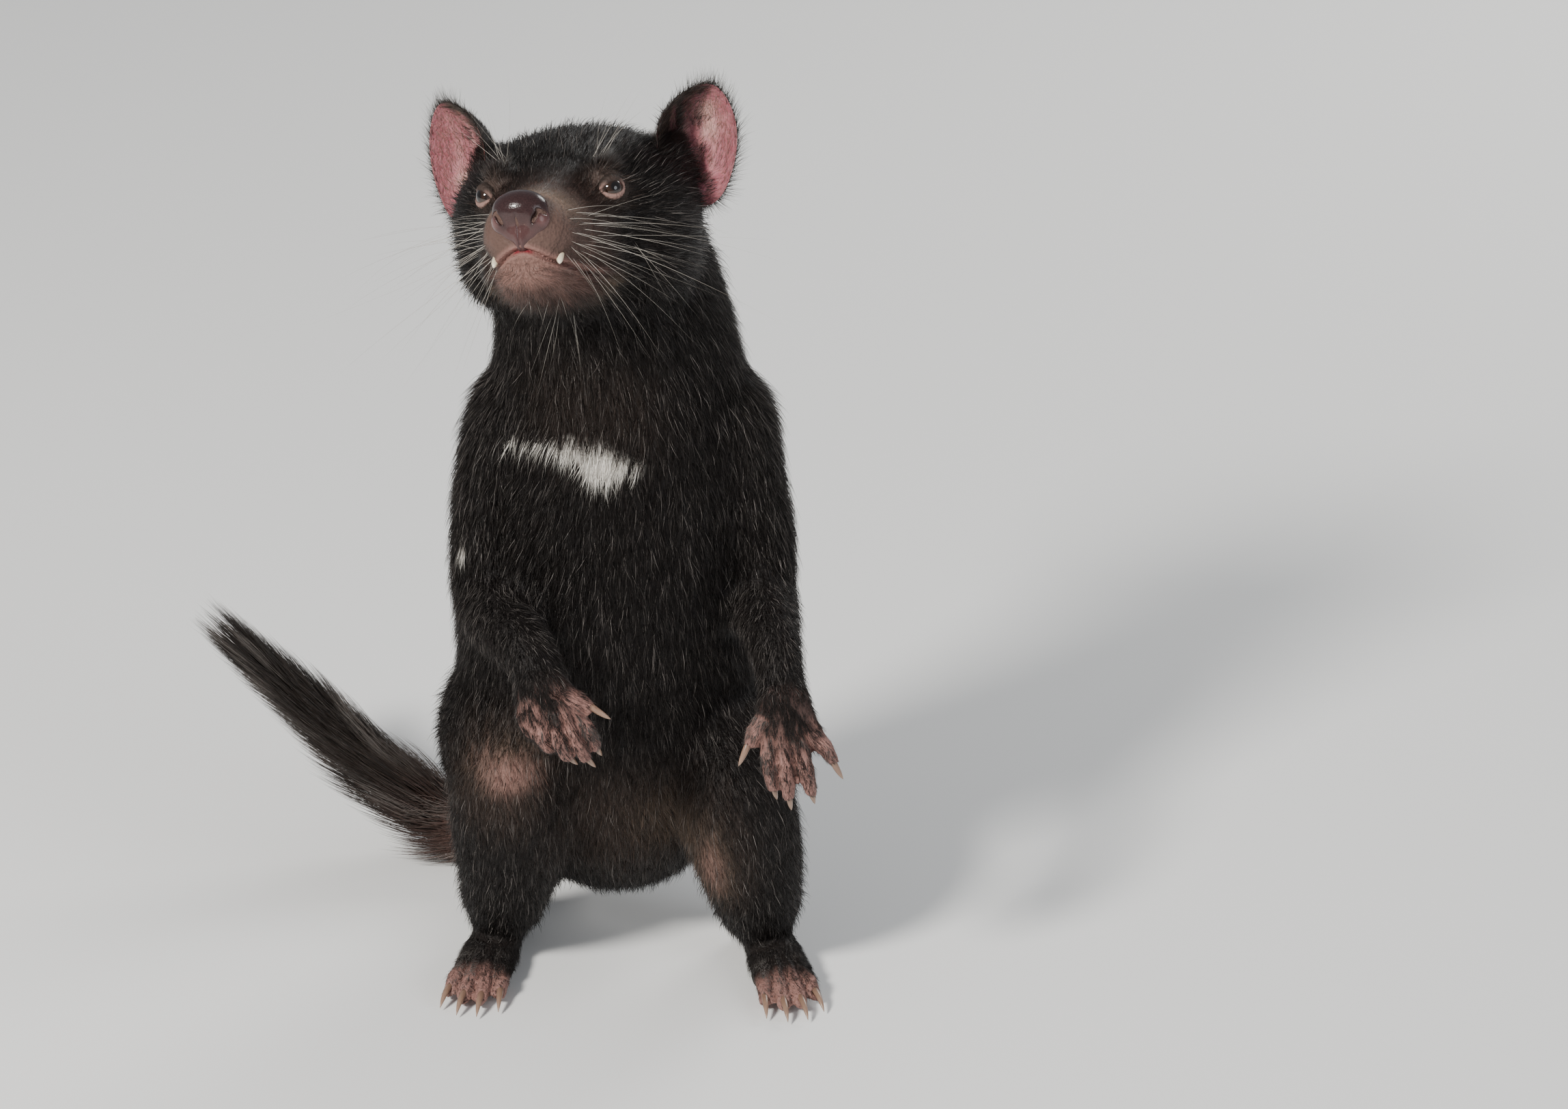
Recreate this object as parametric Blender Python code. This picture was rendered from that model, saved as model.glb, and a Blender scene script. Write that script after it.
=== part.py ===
"""A Tasmanian devil that stands up on its hind legs, as a still life-size model.

Metres, +Z up. The animal faces -Y, and its left side is at +X. Flesh is modelled to the tips of
the short coat. Each limb is a tube of oval rings; the tubes are fused and smoothed, and the fused
body is then parted into named nodes that meet face to face with a gap of SEAM.
"""

import math
import random

import bmesh
import bpy
import numpy as np
from mathutils import Matrix, Vector
from mathutils.bvhtree import BVHTree

SEAM = 0.0003
FLOOR = 0.0
CUTTER = 0.3

# Head: centre of the braincase, and how the head is turned from looking straight along -Y.
HEAD_CENTRE = Vector((-0.0185, 0.025, 0.4265))
HEAD_YAW = math.radians(-17.0)
HEAD_PITCH = math.radians(27.0)
HEAD_ROLL = math.radians(-10.0)

EYE_RADIUS = 0.0063
EYE_SIDE = 0.0310
EYE_FORWARD = 0.0415
EYE_UP = 0.0095

COAT_BLACK = (0.016, 0.014, 0.014, 1.0)
SKIN_BROWN = (0.16, 0.085, 0.065, 1.0)
EAR_PINK = (0.48, 0.19, 0.19, 1.0)
NOSE_BROWN = (0.07, 0.035, 0.032, 1.0)
EYE_BROWN = (0.02, 0.012, 0.010, 1.0)
IVORY = (0.78, 0.70, 0.50, 1.0)
CLAW_HORN = (0.55, 0.38, 0.26, 1.0)

# The body's tubes. A row is x, y, z, half width, half depth.
TORSO = [
    (0.002, 0.088, 0.028, 0.014, 0.018),
    (0.001, 0.087, 0.040, 0.042, 0.042),
    (-0.002, 0.083, 0.075, 0.063, 0.062),
    (-0.006, 0.069, 0.130, 0.073, 0.069),
    (-0.0095, 0.056, 0.190, 0.0765, 0.069),
    (-0.002, 0.049, 0.250, 0.071, 0.066),
    (0.002, 0.048, 0.295, 0.067, 0.062),
    (0.003, 0.050, 0.330, 0.061, 0.057),
    (0.001, 0.049, 0.360, 0.050, 0.048),
    (0.001, 0.048, 0.374, 0.018, 0.018),
]
NECK = [
    (0.003, 0.050, 0.280, 0.052, 0.050),
    (0.002, 0.051, 0.330, 0.064, 0.059),
    (-0.002, 0.049, 0.366, 0.061, 0.056),
    (-0.008, 0.044, 0.396, 0.057, 0.053),
    (-0.014, 0.042, 0.424, 0.044, 0.044),
    (-0.014, 0.042, 0.436, 0.016, 0.018),
]
ARM = {
    "right": [
        (-0.034, 0.050, 0.338, 0.020, 0.022),
        (-0.046, 0.047, 0.313, 0.030, 0.032),
        (-0.059, 0.039, 0.280, 0.025, 0.028),
        (-0.065, 0.031, 0.250, 0.021, 0.024),
        (-0.067, 0.019, 0.226, 0.019, 0.020),
        (-0.059, -0.009, 0.220, 0.0180, 0.0175),
        (-0.047, -0.035, 0.221, 0.0160, 0.0150),
        (-0.039, -0.051, 0.216, 0.0145, 0.0125),
        (-0.0365, -0.0580, 0.206, 0.0140, 0.0110),
    ],
    "left": [
        (0.042, 0.050, 0.336, 0.020, 0.022),
        (0.053, 0.048, 0.309, 0.030, 0.032),
        (0.064, 0.043, 0.275, 0.024, 0.028),
        (0.072, 0.041, 0.244, 0.021, 0.025),
        (0.074, 0.033, 0.218, 0.019, 0.020),
        (0.077, 0.006, 0.215, 0.0175, 0.0175),
        (0.081, -0.016, 0.209, 0.0150, 0.0150),
        (0.0835, -0.030, 0.201, 0.0135, 0.0120),
        (0.0850, -0.038, 0.190, 0.0130, 0.0095),
    ],
}
LEG = {
    "right": [
        (-0.030, 0.092, 0.110, 0.022, 0.024),
        (-0.042, 0.082, 0.118, 0.041, 0.046),
        (-0.053, 0.058, 0.128, 0.043, 0.050),
        (-0.057, 0.030, 0.128, 0.037, 0.042),
        (-0.057, 0.012, 0.117, 0.032, 0.032),
        (-0.057, 0.016, 0.094, 0.0315, 0.0305),
        (-0.058, 0.030, 0.064, 0.0285, 0.0285),
        (-0.061, 0.045, 0.036, 0.0245, 0.0245),
        (-0.061, 0.052, 0.020, 0.0195, 0.0200),
        (-0.060, 0.054, 0.012, 0.010, 0.010),
    ],
    "left": [
        (0.030, 0.092, 0.100, 0.022, 0.024),
        (0.040, 0.082, 0.108, 0.039, 0.044),
        (0.050, 0.058, 0.117, 0.040, 0.046),
        (0.058, 0.029, 0.118, 0.035, 0.039),
        (0.061, 0.010, 0.110, 0.031, 0.031),
        (0.064, 0.014, 0.089, 0.0315, 0.0300),
        (0.068, 0.026, 0.062, 0.0290, 0.0280),
        (0.071, 0.039, 0.036, 0.0240, 0.0245),
        (0.071, 0.046, 0.020, 0.0190, 0.0200),
        (0.071, 0.048, 0.012, 0.010, 0.010),
    ],
}
TAIL = [
    (0.004, 0.088, 0.090, 0.020, 0.020),
    (0.002, 0.108, 0.074, 0.026, 0.026),
    (-0.018, 0.134, 0.044, 0.0240, 0.0240),
    (-0.050, 0.148, 0.0225, 0.0220, 0.0220),
    (-0.090, 0.154, 0.0190, 0.0190, 0.0190),
    (-0.128, 0.165, 0.0410, 0.0140, 0.0140),
    (-0.164, 0.178, 0.0710, 0.0095, 0.0095),
    (-0.190, 0.188, 0.0920, 0.0070, 0.0070),
    (-0.205, 0.194, 0.1040, 0.0048, 0.0048),
    (-0.212, 0.197, 0.1100, 0.0016, 0.0016),
]

HEAD_FRAME = (
    Matrix.Translation(HEAD_CENTRE)
    @ Matrix.Rotation(HEAD_YAW, 4, "Z")
    @ Matrix.Rotation(-HEAD_PITCH, 4, "X")
    @ Matrix.Rotation(HEAD_ROLL, 4, "Y")
)

# The head's tubes, in its own frame: the snout points along -y, and z is up.
BRAINCASE = [
    (0, 0.056, -0.004, 0.018, 0.016),
    (0, 0.045, -0.002, 0.043, 0.039),
    (0, 0.026, 0.001, 0.0590, 0.048),
    (0, 0.004, -0.001, 0.0650, 0.047),
    (0, -0.014, -0.004, 0.0595, 0.042),
    (0, -0.032, -0.009, 0.045, 0.034),
    (0, -0.048, -0.013, 0.034, 0.027),
    (0, -0.062, -0.015, 0.0280, 0.0235),
    (0, -0.076, -0.016, 0.0245, 0.0205),
    (0, -0.087, -0.0165, 0.0195, 0.0165),
    (0, -0.092, -0.0165, 0.0110, 0.0100),
]
JAW = [
    (0, 0.012, -0.036, 0.018, 0.008),
    (0, 0.004, -0.037, 0.034, 0.014),
    (0, -0.020, -0.038, 0.032, 0.013),
    (0, -0.046, -0.0385, 0.024, 0.0115),
    (0, -0.066, -0.0375, 0.0195, 0.0105),
    (0, -0.080, -0.0360, 0.0165, 0.0095),
    (0, -0.0875, -0.0350, 0.0100, 0.0065),
]


# Digits: base, joint, end of the flesh, and tip of the claw, with the thickness of the base.
HAND = {
    "right": {
        "palm": [
            (-0.0370, -0.0575, 0.2150, 0.0135, 0.0120),
            (-0.0355, -0.0605, 0.2060, 0.0150, 0.0100),
            (-0.0320, -0.0625, 0.1970, 0.0185, 0.0090),
            (-0.0285, -0.0625, 0.1885, 0.0175, 0.0080),
            (-0.0265, -0.0620, 0.1840, 0.0120, 0.0060),
        ],
        "digits": [
            [
                (-0.025, -0.058, 0.207), (-0.017, -0.060, 0.202),
                (-0.010, -0.062, 0.198), (-0.001, -0.064, 0.192),
            ],
            [
                (-0.018, -0.061, 0.195), (-0.012, -0.066, 0.185),
                (-0.009, -0.064, 0.177), (-0.006, -0.057, 0.168),
            ],
            [
                (-0.024, -0.063, 0.193), (-0.018, -0.069, 0.181),
                (-0.014, -0.067, 0.172), (-0.009, -0.060, 0.163),
            ],
            [
                (-0.030, -0.064, 0.193), (-0.027, -0.070, 0.182),
                (-0.023, -0.068, 0.173), (-0.018, -0.061, 0.165),
            ],
            [
                (-0.037, -0.062, 0.195), (-0.036, -0.068, 0.185),
                (-0.032, -0.067, 0.177), (-0.028, -0.060, 0.172),
            ],
        ],
    },
    "left": {
        "palm": [
            (0.0845, -0.0370, 0.1980, 0.0130, 0.0110),
            (0.0855, -0.0410, 0.1890, 0.0150, 0.0095),
            (0.0860, -0.0440, 0.1790, 0.0180, 0.0085),
            (0.0875, -0.0450, 0.1700, 0.0175, 0.0075),
            (0.0880, -0.0445, 0.1640, 0.0130, 0.0060),
        ],
        "digits": [
            [
                (0.0740, -0.040, 0.1800), (0.0700, -0.043, 0.1740),
                (0.0668, -0.045, 0.1680), (0.0625, -0.048, 0.1575),
            ],
            [
                (0.0770, -0.044, 0.1690), (0.0785, -0.049, 0.1570),
                (0.0797, -0.048, 0.1460), (0.0820, -0.044, 0.1365),
            ],
            [
                (0.0845, -0.045, 0.1680), (0.0862, -0.050, 0.1540),
                (0.0879, -0.049, 0.1410), (0.0893, -0.045, 0.1310),
            ],
            [
                (0.0930, -0.045, 0.1690), (0.0965, -0.049, 0.1560),
                (0.0994, -0.048, 0.1430), (0.1012, -0.044, 0.1340),
            ],
            [
                (0.1000, -0.043, 0.1750), (0.1060, -0.045, 0.1670),
                (0.1105, -0.045, 0.1590), (0.1155, -0.043, 0.1475),
            ],
        ],
    },
}
DIGIT_THICK = (0.0052, 0.0047, 0.0040)
CLAW_THICK = (0.0023, 0.0021, 0.0014, 0.0005)

# Feet, drawn for a heel at the origin that points along -y, then turned and set down.
FOOT_PLACE = {"right": (Vector((-0.061, 0.072, 0.0)), -10.0), "left": (Vector((0.072, 0.066, 0.0)), 12.0)}
FOOT_SOLE = [
    (0.0, 0.004, 0.010, 0.009, 0.009),
    (0.0, -0.006, 0.010, 0.0135, 0.0125),
    (0.0, -0.026, 0.009, 0.0140, 0.0125),
    (0.0, -0.048, 0.008, 0.0155, 0.0110),
    (0.0, -0.064, 0.007, 0.0165, 0.0095),
    (0.0, -0.074, 0.006, 0.0120, 0.0070),
]
FOOT_ANKLE = [
    (0.0, -0.018, 0.046, 0.0230, 0.0235),
    (0.0, -0.017, 0.034, 0.0220, 0.0235),
    (0.0, -0.018, 0.022, 0.0180, 0.0200),
    (0.0, -0.022, 0.010, 0.0120, 0.0150),
]
TOE_SIDES = (-0.0125, -0.0045, 0.0040, 0.0120)
TOE_REACH = (-0.083, -0.089, -0.089, -0.082)

# The face, in the head's frame.
NOSE_AT = Vector((0.0, -0.0905, -0.0085))
CANINE = {"root": (0.0160, -0.0780, -0.0225), "tip": (0.0172, -0.0850, -0.0325)}
LIP_LEVEL = -0.0255
LIP_THICK = 0.0011
EAR_CENTRE = (0.0620, 0.0080, 0.0320)
EAR_YAW = math.radians(32.0)
EAR_PITCH = math.radians(8.0)
EAR_LEAN = math.radians(-4.0)
EAR_HALF_WIDTH = 0.0205
EAR_HALF_HEIGHT = 0.0315
EAR_EGG = 0.06
EAR_CUP = 0.0190
EAR_THICK = 0.0022
PHILTRUM = [(-0.0086, -0.0005), (-0.0062, -0.0060), (-0.0038, -0.0110), (0.0000, -0.0165)]

# Where the body is parted: a point of each plane, and the way out of the piece before it.
NECK_CUT = (Vector((0.0, 0.032, -0.034)), Vector((0.0, 0.55, -0.835)))
CHEST_CUT = (Vector((0.002, 0.048, 0.332)), Vector((0.06, 0.25, 1.0)))
TAIL_CUT = (Vector((-0.0130, 0.128, 0.050)), Vector((-0.55, 0.52, -0.65)))
TAIL_BARE_CUT = (Vector((-0.038, 0.144, 0.030)), Vector((-0.90, 0.40, -0.40)))
TAIL_BRUSH_CUT = (Vector((-0.098, 0.157, 0.022)), Vector((-0.90, 0.22, 0.35)))
KNEE_DOWN = (0.0, -0.50, -0.87)
LIMB_ROOM = 0.007

# Locks of the tail's brush: rings of them along the tail, from 0 at its root to 1 at its tip.
LOCK_RINGS = 7
LOCK_FROM, LOCK_TO = 0.47, 0.83
LOCKS_A_RING = (7, 5)
LOCK_LENGTH = (0.050, 0.038)
LOCK_LIFT = (0.0052, 0.0046)
LOCK_HALF_WIDTH = 0.0052
LOCK_HALF_THICK = 0.0012
LOCK_SUNK = 0.0035

FINISH = {
    "coat": (COAT_BLACK, 0.62),
    "ear": (EAR_PINK, 0.60),
    "nose": (NOSE_BROWN, 0.25),
    "eye": (EYE_BROWN, 0.05),
    "canine": (IVORY, 0.35),
    "claw": (CLAW_HORN, 0.40),
    "hand": (SKIN_BROWN, 0.50),
    "foot": (SKIN_BROWN, 0.50),
}


def material(name, colour, roughness):
    """A plain Principled finish."""
    made = bpy.data.materials.new(name)
    made.use_nodes = True
    shader = made.node_tree.nodes["Principled BSDF"]
    shader.inputs["Base Color"].default_value = colour
    shader.inputs["Roughness"].default_value = roughness
    shader.inputs["Metallic"].default_value = 0.0
    return made


def clear_scene():
    for old in list(bpy.data.objects):
        bpy.data.objects.remove(old)


def new_object(name, bm):
    """An object in the scene from a bmesh, which is freed."""
    mesh = bpy.data.meshes.new(name)
    bmesh.ops.recalc_face_normals(bm, faces=bm.faces)
    bm.to_mesh(mesh)
    bm.free()
    made = bpy.data.objects.new(name, mesh)
    bpy.context.scene.collection.objects.link(made)
    return made


def evaluated(obj):
    """Replaces the object's mesh with what its modifiers make of it."""
    bpy.context.view_layer.update()
    graph = bpy.context.evaluated_depsgraph_get()
    mesh = bpy.data.meshes.new_from_object(obj.evaluated_get(graph))
    obj.modifiers.clear()
    old = obj.data
    obj.data = mesh
    bpy.data.meshes.remove(old)
    return obj


def spread(stations, steps):
    """Stations read at even steps along a smooth curve through them, ends included."""
    table = np.array(stations, float)
    held = np.vstack([2 * table[0] - table[1], table, 2 * table[-1] - table[-2]])
    rows = []
    for place in np.linspace(0.0, len(table) - 1.0, steps):
        i = min(int(place), len(table) - 2)
        t = place - i
        a, b, c, d = held[i : i + 4]
        curve = 2 * b + (c - a) * t + (2 * a - 5 * b + 4 * c - d) * t**2
        rows.append((curve + (3 * b - a - 3 * c + d) * t**3) / 2)
    return np.array(rows)


def tube(name, stations, side=(1, 0, 0), around=20, steps=None, frame=None):
    """A closed tube of oval rings along a path. A station is x, y, z, half width along side,
    half depth across it. Each ring stands square to the path, and the ends are capped flat."""
    rows = spread(stations, steps or 3 * len(stations))
    points = [Vector(row[:3]) for row in rows]
    side = Vector(side)
    bm = bmesh.new()
    rings = []
    for i, row in enumerate(rows):
        along = (points[min(i + 1, len(rows) - 1)] - points[max(i - 1, 0)]).normalized()
        across = (side - along * side.dot(along)).normalized()
        deep = along.cross(across)
        width, depth = max(row[3], 0.0004), max(row[4], 0.0004)
        ring = []
        for k in range(around):
            turn = 2 * math.pi * k / around
            spot = points[i] + across * width * math.cos(turn) + deep * depth * math.sin(turn)
            ring.append(bm.verts.new(frame @ spot if frame else spot))
        rings.append(ring)
    for low, high in zip(rings, rings[1:]):
        for k in range(around):
            m = (k + 1) % around
            bm.faces.new((low[k], low[m], high[m], high[k]))
    bm.faces.new(rings[0])
    bm.faces.new(rings[-1])
    return new_object(name, bm)


def ball(name, centre, radii, frame=None, turn=None, segments=20, rings=12):
    """An ellipsoid. radii are along its own axes, which turn sets."""
    bm = bmesh.new()
    bmesh.ops.create_uvsphere(bm, u_segments=segments, v_segments=rings, radius=1.0)
    shape = Matrix.Diagonal((*radii, 1.0))
    place = Matrix.Translation(centre) @ (turn or Matrix.Identity(4)) @ shape
    bmesh.ops.transform(bm, matrix=(frame @ place if frame else place), verts=bm.verts)
    return new_object(name, bm)


def block(name, centre, half, turn=None):
    """A box, used as a cutter. half is its half sizes."""
    bm = bmesh.new()
    bmesh.ops.create_cube(bm, size=2.0)
    place = Matrix.Translation(centre) @ (turn or Matrix.Identity(4)) @ Matrix.Diagonal((*half, 1.0))
    bmesh.ops.transform(bm, matrix=place, verts=bm.verts)
    return new_object(name, bm)


def copy_of(obj, name):
    made = obj.copy()
    made.data = obj.data.copy()
    made.name = name
    bpy.context.scene.collection.objects.link(made)
    return made


def swollen(obj, by, name="swollen"):
    """A copy whose skin stands out by this much."""
    made = copy_of(obj, name)
    push = made.modifiers.new("push", "DISPLACE")
    push.mid_level = 0.0
    push.strength = by
    return evaluated(made)


def largest(obj):
    """Keeps the largest closed surface of the object's mesh."""
    bm = bmesh.new()
    bm.from_mesh(obj.data)
    bmesh.ops.triangulate(bm, faces=bm.faces)
    bm.verts.ensure_lookup_table()
    seen = set()
    groups = []
    for start in bm.verts:
        if start.index in seen:
            continue
        stack = [start]
        group = []
        seen.add(start.index)
        while stack:
            here = stack.pop()
            group.append(here)
            for edge in here.link_edges:
                other = edge.other_vert(here)
                if other.index not in seen:
                    seen.add(other.index)
                    stack.append(other)
        groups.append(group)
    best = max(groups, key=span)
    bmesh.ops.delete(bm, geom=[v for g in groups if g is not best for v in g], context="VERTS")
    bm.to_mesh(obj.data)
    bm.free()
    return obj


def span(group):
    """How large a group of vertices is: the diagonal of its box."""
    spots = np.array([v.co for v in group])
    return float(np.linalg.norm(spots.max(0) - spots.min(0)))


def is_sound(mesh):
    """True for a mesh that has faces and no open edge."""
    bm = bmesh.new()
    bm.from_mesh(mesh)
    sound = len(bm.faces) > 3 and all(edge.is_manifold for edge in bm.edges)
    bm.free()
    return sound


def boolean(obj, other, operation):
    """obj joined with, cut by or held to other, which is used up. EXACT, or MANIFOLD where it fails."""
    before = obj.data.copy()
    for solver in ("EXACT", "MANIFOLD"):
        step = obj.modifiers.new("boolean", "BOOLEAN")
        step.operation = operation
        step.object = other
        step.solver = solver
        evaluated(obj)
        if is_sound(obj.data):
            break
        obj.data = before.copy()
    bpy.data.objects.remove(other)
    return obj


def cut_plane(obj, point, normal):
    """Cuts away what lies beyond a plane, on the side its normal points to."""
    normal = Vector(normal).normalized()
    turn = normal.to_track_quat("Z", "Y").to_matrix().to_4x4()
    far = block("beyond", Vector(point) + normal * CUTTER, (CUTTER,) * 3, turn)
    return largest(boolean(obj, far, "DIFFERENCE"))


def fused(name, pieces, voxel, rounds, faces):
    """Overlapping pieces made one skin: remeshed at a voxel size, smoothed, and thinned out."""
    bm = bmesh.new()
    for piece in pieces:
        bm.from_mesh(piece.data)
        bpy.data.objects.remove(piece)
    made = new_object(name, bm)
    remesh = made.modifiers.new("remesh", "REMESH")
    remesh.mode = "VOXEL"
    remesh.voxel_size = voxel
    smooth = made.modifiers.new("smooth", "SMOOTH")
    smooth.factor = 0.5
    smooth.iterations = rounds
    evaluated(made)
    largest(made)
    thin = made.modifiers.new("thin", "DECIMATE")
    thin.ratio = min(1.0, faces / len(made.data.polygons))
    return evaluated(made)


def claw(name, root, tip, droop, thick=CLAW_THICK):
    """A horn claw, bent along its length, from inside the flesh to its tip."""
    root, tip = Vector(root), Vector(tip)
    middle = root.lerp(tip, 0.5) + Vector(droop)
    third = root.lerp(tip, 0.8) + Vector(droop) * 0.7
    rows = [(*spot, size * 0.8, size) for spot, size in zip((root, middle, third, tip), thick)]
    return tube(name, rows, around=6, steps=5)


def digit(rows, side=(1, 0, 0)):
    """The flesh of a finger or toe: a knuckle, a slimmer joint and a pad at the end."""
    base, joint, end = (Vector(row) for row in rows[:3])
    start = base.lerp(joint, -0.8)
    sizes = (DIGIT_THICK[0], *DIGIT_THICK)
    stations = [(*spot, s, s) for spot, s in zip((start, base, joint, end), sizes)]
    beyond = end + (end - joint).normalized() * 0.003
    stations.append((*beyond, 0.0022, 0.0022))
    return tube("flesh", stations, side=side, around=10, steps=12)


def hand(side):
    """A hand with its five digits, and a claw at the end of each."""
    plan = HAND[side]
    wrist = tube("wrist", ARM[side][-4:], around=16)
    palm = tube("palm", plan["palm"], around=16)
    flesh = [digit(rows) for rows in plan["digits"]]
    made = fused(f"hand_{side}", [wrist, palm, *flesh], 0.0011, 3, 430)
    claws = []
    for i, rows in enumerate(plan["digits"], start=1):
        joint, end, tip = (Vector(row) for row in rows[1:])
        root = joint.lerp(end, 0.55) + Vector((0, -0.0006, 0))
        claws.append(claw(f"claw_hand_{side}_{i}", root, tip, (0, -0.0016, 0.0004)))
    return made, claws


def foot(side):
    """A long flat-soled foot with four toes, cut level with the floor."""
    heel, turn = FOOT_PLACE[side]
    frame = Matrix.Translation(heel) @ Matrix.Rotation(math.radians(turn), 4, "Z")
    pieces = [
        tube("sole", FOOT_SOLE, around=16, frame=frame),
        tube("ankle", FOOT_ANKLE, around=16, frame=frame),
        tube("shank", LEG[side][-5:], around=16),
    ]
    claws = []
    for i, (x, reach) in enumerate(zip(TOE_SIDES, TOE_REACH), start=1):
        rows = [(x * 0.8, -0.060, 0.0075), (x, -0.073, 0.0085), (x * 1.1, reach, 0.0050)]
        toe = digit(rows)
        toe.data.transform(frame)
        pieces.append(toe)
        root = Vector((x * 1.05, reach + 0.006, 0.0072))
        tip = Vector((x * 1.25, reach - 0.0125, 0.0022))
        claws.append(claw(f"claw_foot_{side}_{i}", frame @ root, frame @ tip, (0, 0, 0.0028)))
    made = fused(f"foot_{side}", pieces, 0.0013, 3, 340)
    return cut_plane(made, (0, 0, FLOOR), (0, 0, -1)), claws


def trimmed_by(obj, other, gap=SEAM):
    """Cuts another piece out of this one, with the seam's gap, and leaves the other as it is."""
    return largest(boolean(obj, swollen(other, gap), "DIFFERENCE"))


def parted(whole, point, normal, names):
    """Splits a solid across a plane into two named nodes with the seam's gap between them."""
    normal = Vector(normal).normalized()
    beyond = copy_of(whole, names[1])
    cut_plane(beyond, Vector(point) + normal * SEAM / 2, -normal)
    cut_plane(whole, Vector(point) - normal * SEAM / 2, normal)
    whole.name = names[0]
    return whole, beyond


def limb_out(body, rows, name):
    """Takes a limb out of the body, with the flesh within LIMB_ROOM of the limb's own tube."""
    room = [(x, y, z, w + LIMB_ROOM, d + LIMB_ROOM) for x, y, z, w, d in rows]
    region = fused("region", [tube("room", room, around=16, steps=20)], 0.006, 2, 180)
    limb = copy_of(body, name)
    boolean(limb, copy_of(region, "held"), "INTERSECT")
    largest(limb)
    boolean(body, swollen(region, SEAM), "DIFFERENCE")
    largest(body)
    bpy.data.objects.remove(region)
    return limb


def mirrored(point, sign):
    return Vector((point[0] * sign, point[1], point[2]))


def eye_centre(sign):
    return Vector((EYE_SIDE * sign, -EYE_FORWARD, EYE_UP))


def eye_turn(sign):
    """How an eye looks: forwards, outwards and a little up, as its own -y axis."""
    yaw = Matrix.Rotation(math.radians(42.0) * sign, 4, "Z")
    return yaw @ Matrix.Rotation(math.radians(-12.0), 4, "X")


def head_flesh():
    """The head without its features: braincase, cheeks, muzzle, brows, lips and jaw, fused."""
    def lump(centre, radii):
        return ball("lump", centre, radii, HEAD_FRAME, segments=16, rings=10)

    pieces = [
        tube("braincase", BRAINCASE, around=28, steps=30, frame=HEAD_FRAME),
        tube("jaw", JAW, around=24, steps=20, frame=HEAD_FRAME),
        tube("neck_top", NECK, around=24, steps=24),
    ]
    for sign in (-1, 1):
        pieces += [
            lump(mirrored((0.039, 0.008, -0.018), sign), (0.024, 0.034, 0.028)),
            lump(mirrored((0.024, -0.026, -0.024), sign), (0.017, 0.032, 0.019)),
            lump(mirrored((0.0240, -0.0300, 0.0165), sign), (0.0120, 0.0190, 0.0085)),
            lump(mirrored((0.0130, -0.0680, -0.0190), sign), (0.0135, 0.0200, 0.0105)),
            lump(eye_centre(sign) + Vector((0, 0.0010, 0)), (0.0090, 0.0088, 0.0086)),
            lump(mirrored((0.0410, 0.0150, 0.0220), sign), (0.0200, 0.0200, 0.0190)),
        ]
    return fused("head", pieces, 0.0018, 5, 2000)


def opening(sign):
    """The almond between an eye's lids, as a cutter."""
    turn = Matrix.Translation(eye_centre(sign)) @ eye_turn(sign)
    tilt = Matrix.Rotation(math.radians(-14.0) * sign, 4, "Y")
    made = ball("opening", (0, -EYE_RADIUS, 0), (0.0058, 0.0060, 0.0040), turn @ tilt, None, 12, 8)
    made.data.transform(HEAD_FRAME)
    return made


def lip_line(head):
    """A thin curved rod that lies in the skin along the lips from corner to corner."""
    bm = bmesh.new()
    bm.from_mesh(head.data)
    from_head = HEAD_FRAME.inverted()
    bmesh.ops.transform(bm, matrix=from_head, verts=bm.verts)
    tree = BVHTree.FromBMesh(bm)
    rows = []
    for angle in np.linspace(-118, 118, 17):
        turn = math.radians(float(angle))
        back = (abs(angle) / 118) ** 2
        start = Vector((0, -0.062 + 0.026 * back, LIP_LEVEL - 0.0055 * back))
        hit = tree.ray_cast(start, Vector((math.sin(turn), -math.cos(turn), 0)))[0]
        spot = hit.lerp(start, 0.04)
        rows.append((*spot, 0.0026 - 0.0010 * back, LIP_THICK * (1 - 0.4 * back)))
    bm.free()
    return tube("lips", rows, side=(0, 1, 0), around=6, steps=21, frame=HEAD_FRAME)


def nose():
    """The bare nose pad: two lobes over a grooved lip, with a comma-shaped nostril each side."""
    def lump(centre, radii):
        return ball("lump", NOSE_AT + Vector(centre), radii, HEAD_FRAME)

    pieces = [
        lump((0, 0.0000, 0.0030), (0.0142, 0.0105, 0.0095)),
        lump((0, 0.0030, -0.0080), (0.0062, 0.0075, 0.0105)),
        lump((0.0080, 0.0010, -0.0020), (0.0070, 0.0080, 0.0080)),
        lump((-0.0080, 0.0010, -0.0020), (0.0070, 0.0080, 0.0080)),
    ]
    made = fused("nose", pieces, 0.0011, 3, 300)
    for sign in (-1, 1):
        slant = Matrix.Rotation(math.radians(28.0) * sign, 4, "Y")
        centre = NOSE_AT + mirrored((0.0092, -0.0078, -0.0015), sign)
        pit = ball("pit", centre, (0.0024, 0.0062, 0.0036), HEAD_FRAME, slant, 10, 6)
        boolean(made, pit, "DIFFERENCE")
    groove = [(*(NOSE_AT + Vector((0, y, z))), 0.0006, 0.0009) for y, z in PHILTRUM]
    boolean(made, tube("groove", groove, around=6, frame=HEAD_FRAME), "DIFFERENCE")
    return largest(made)


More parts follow.
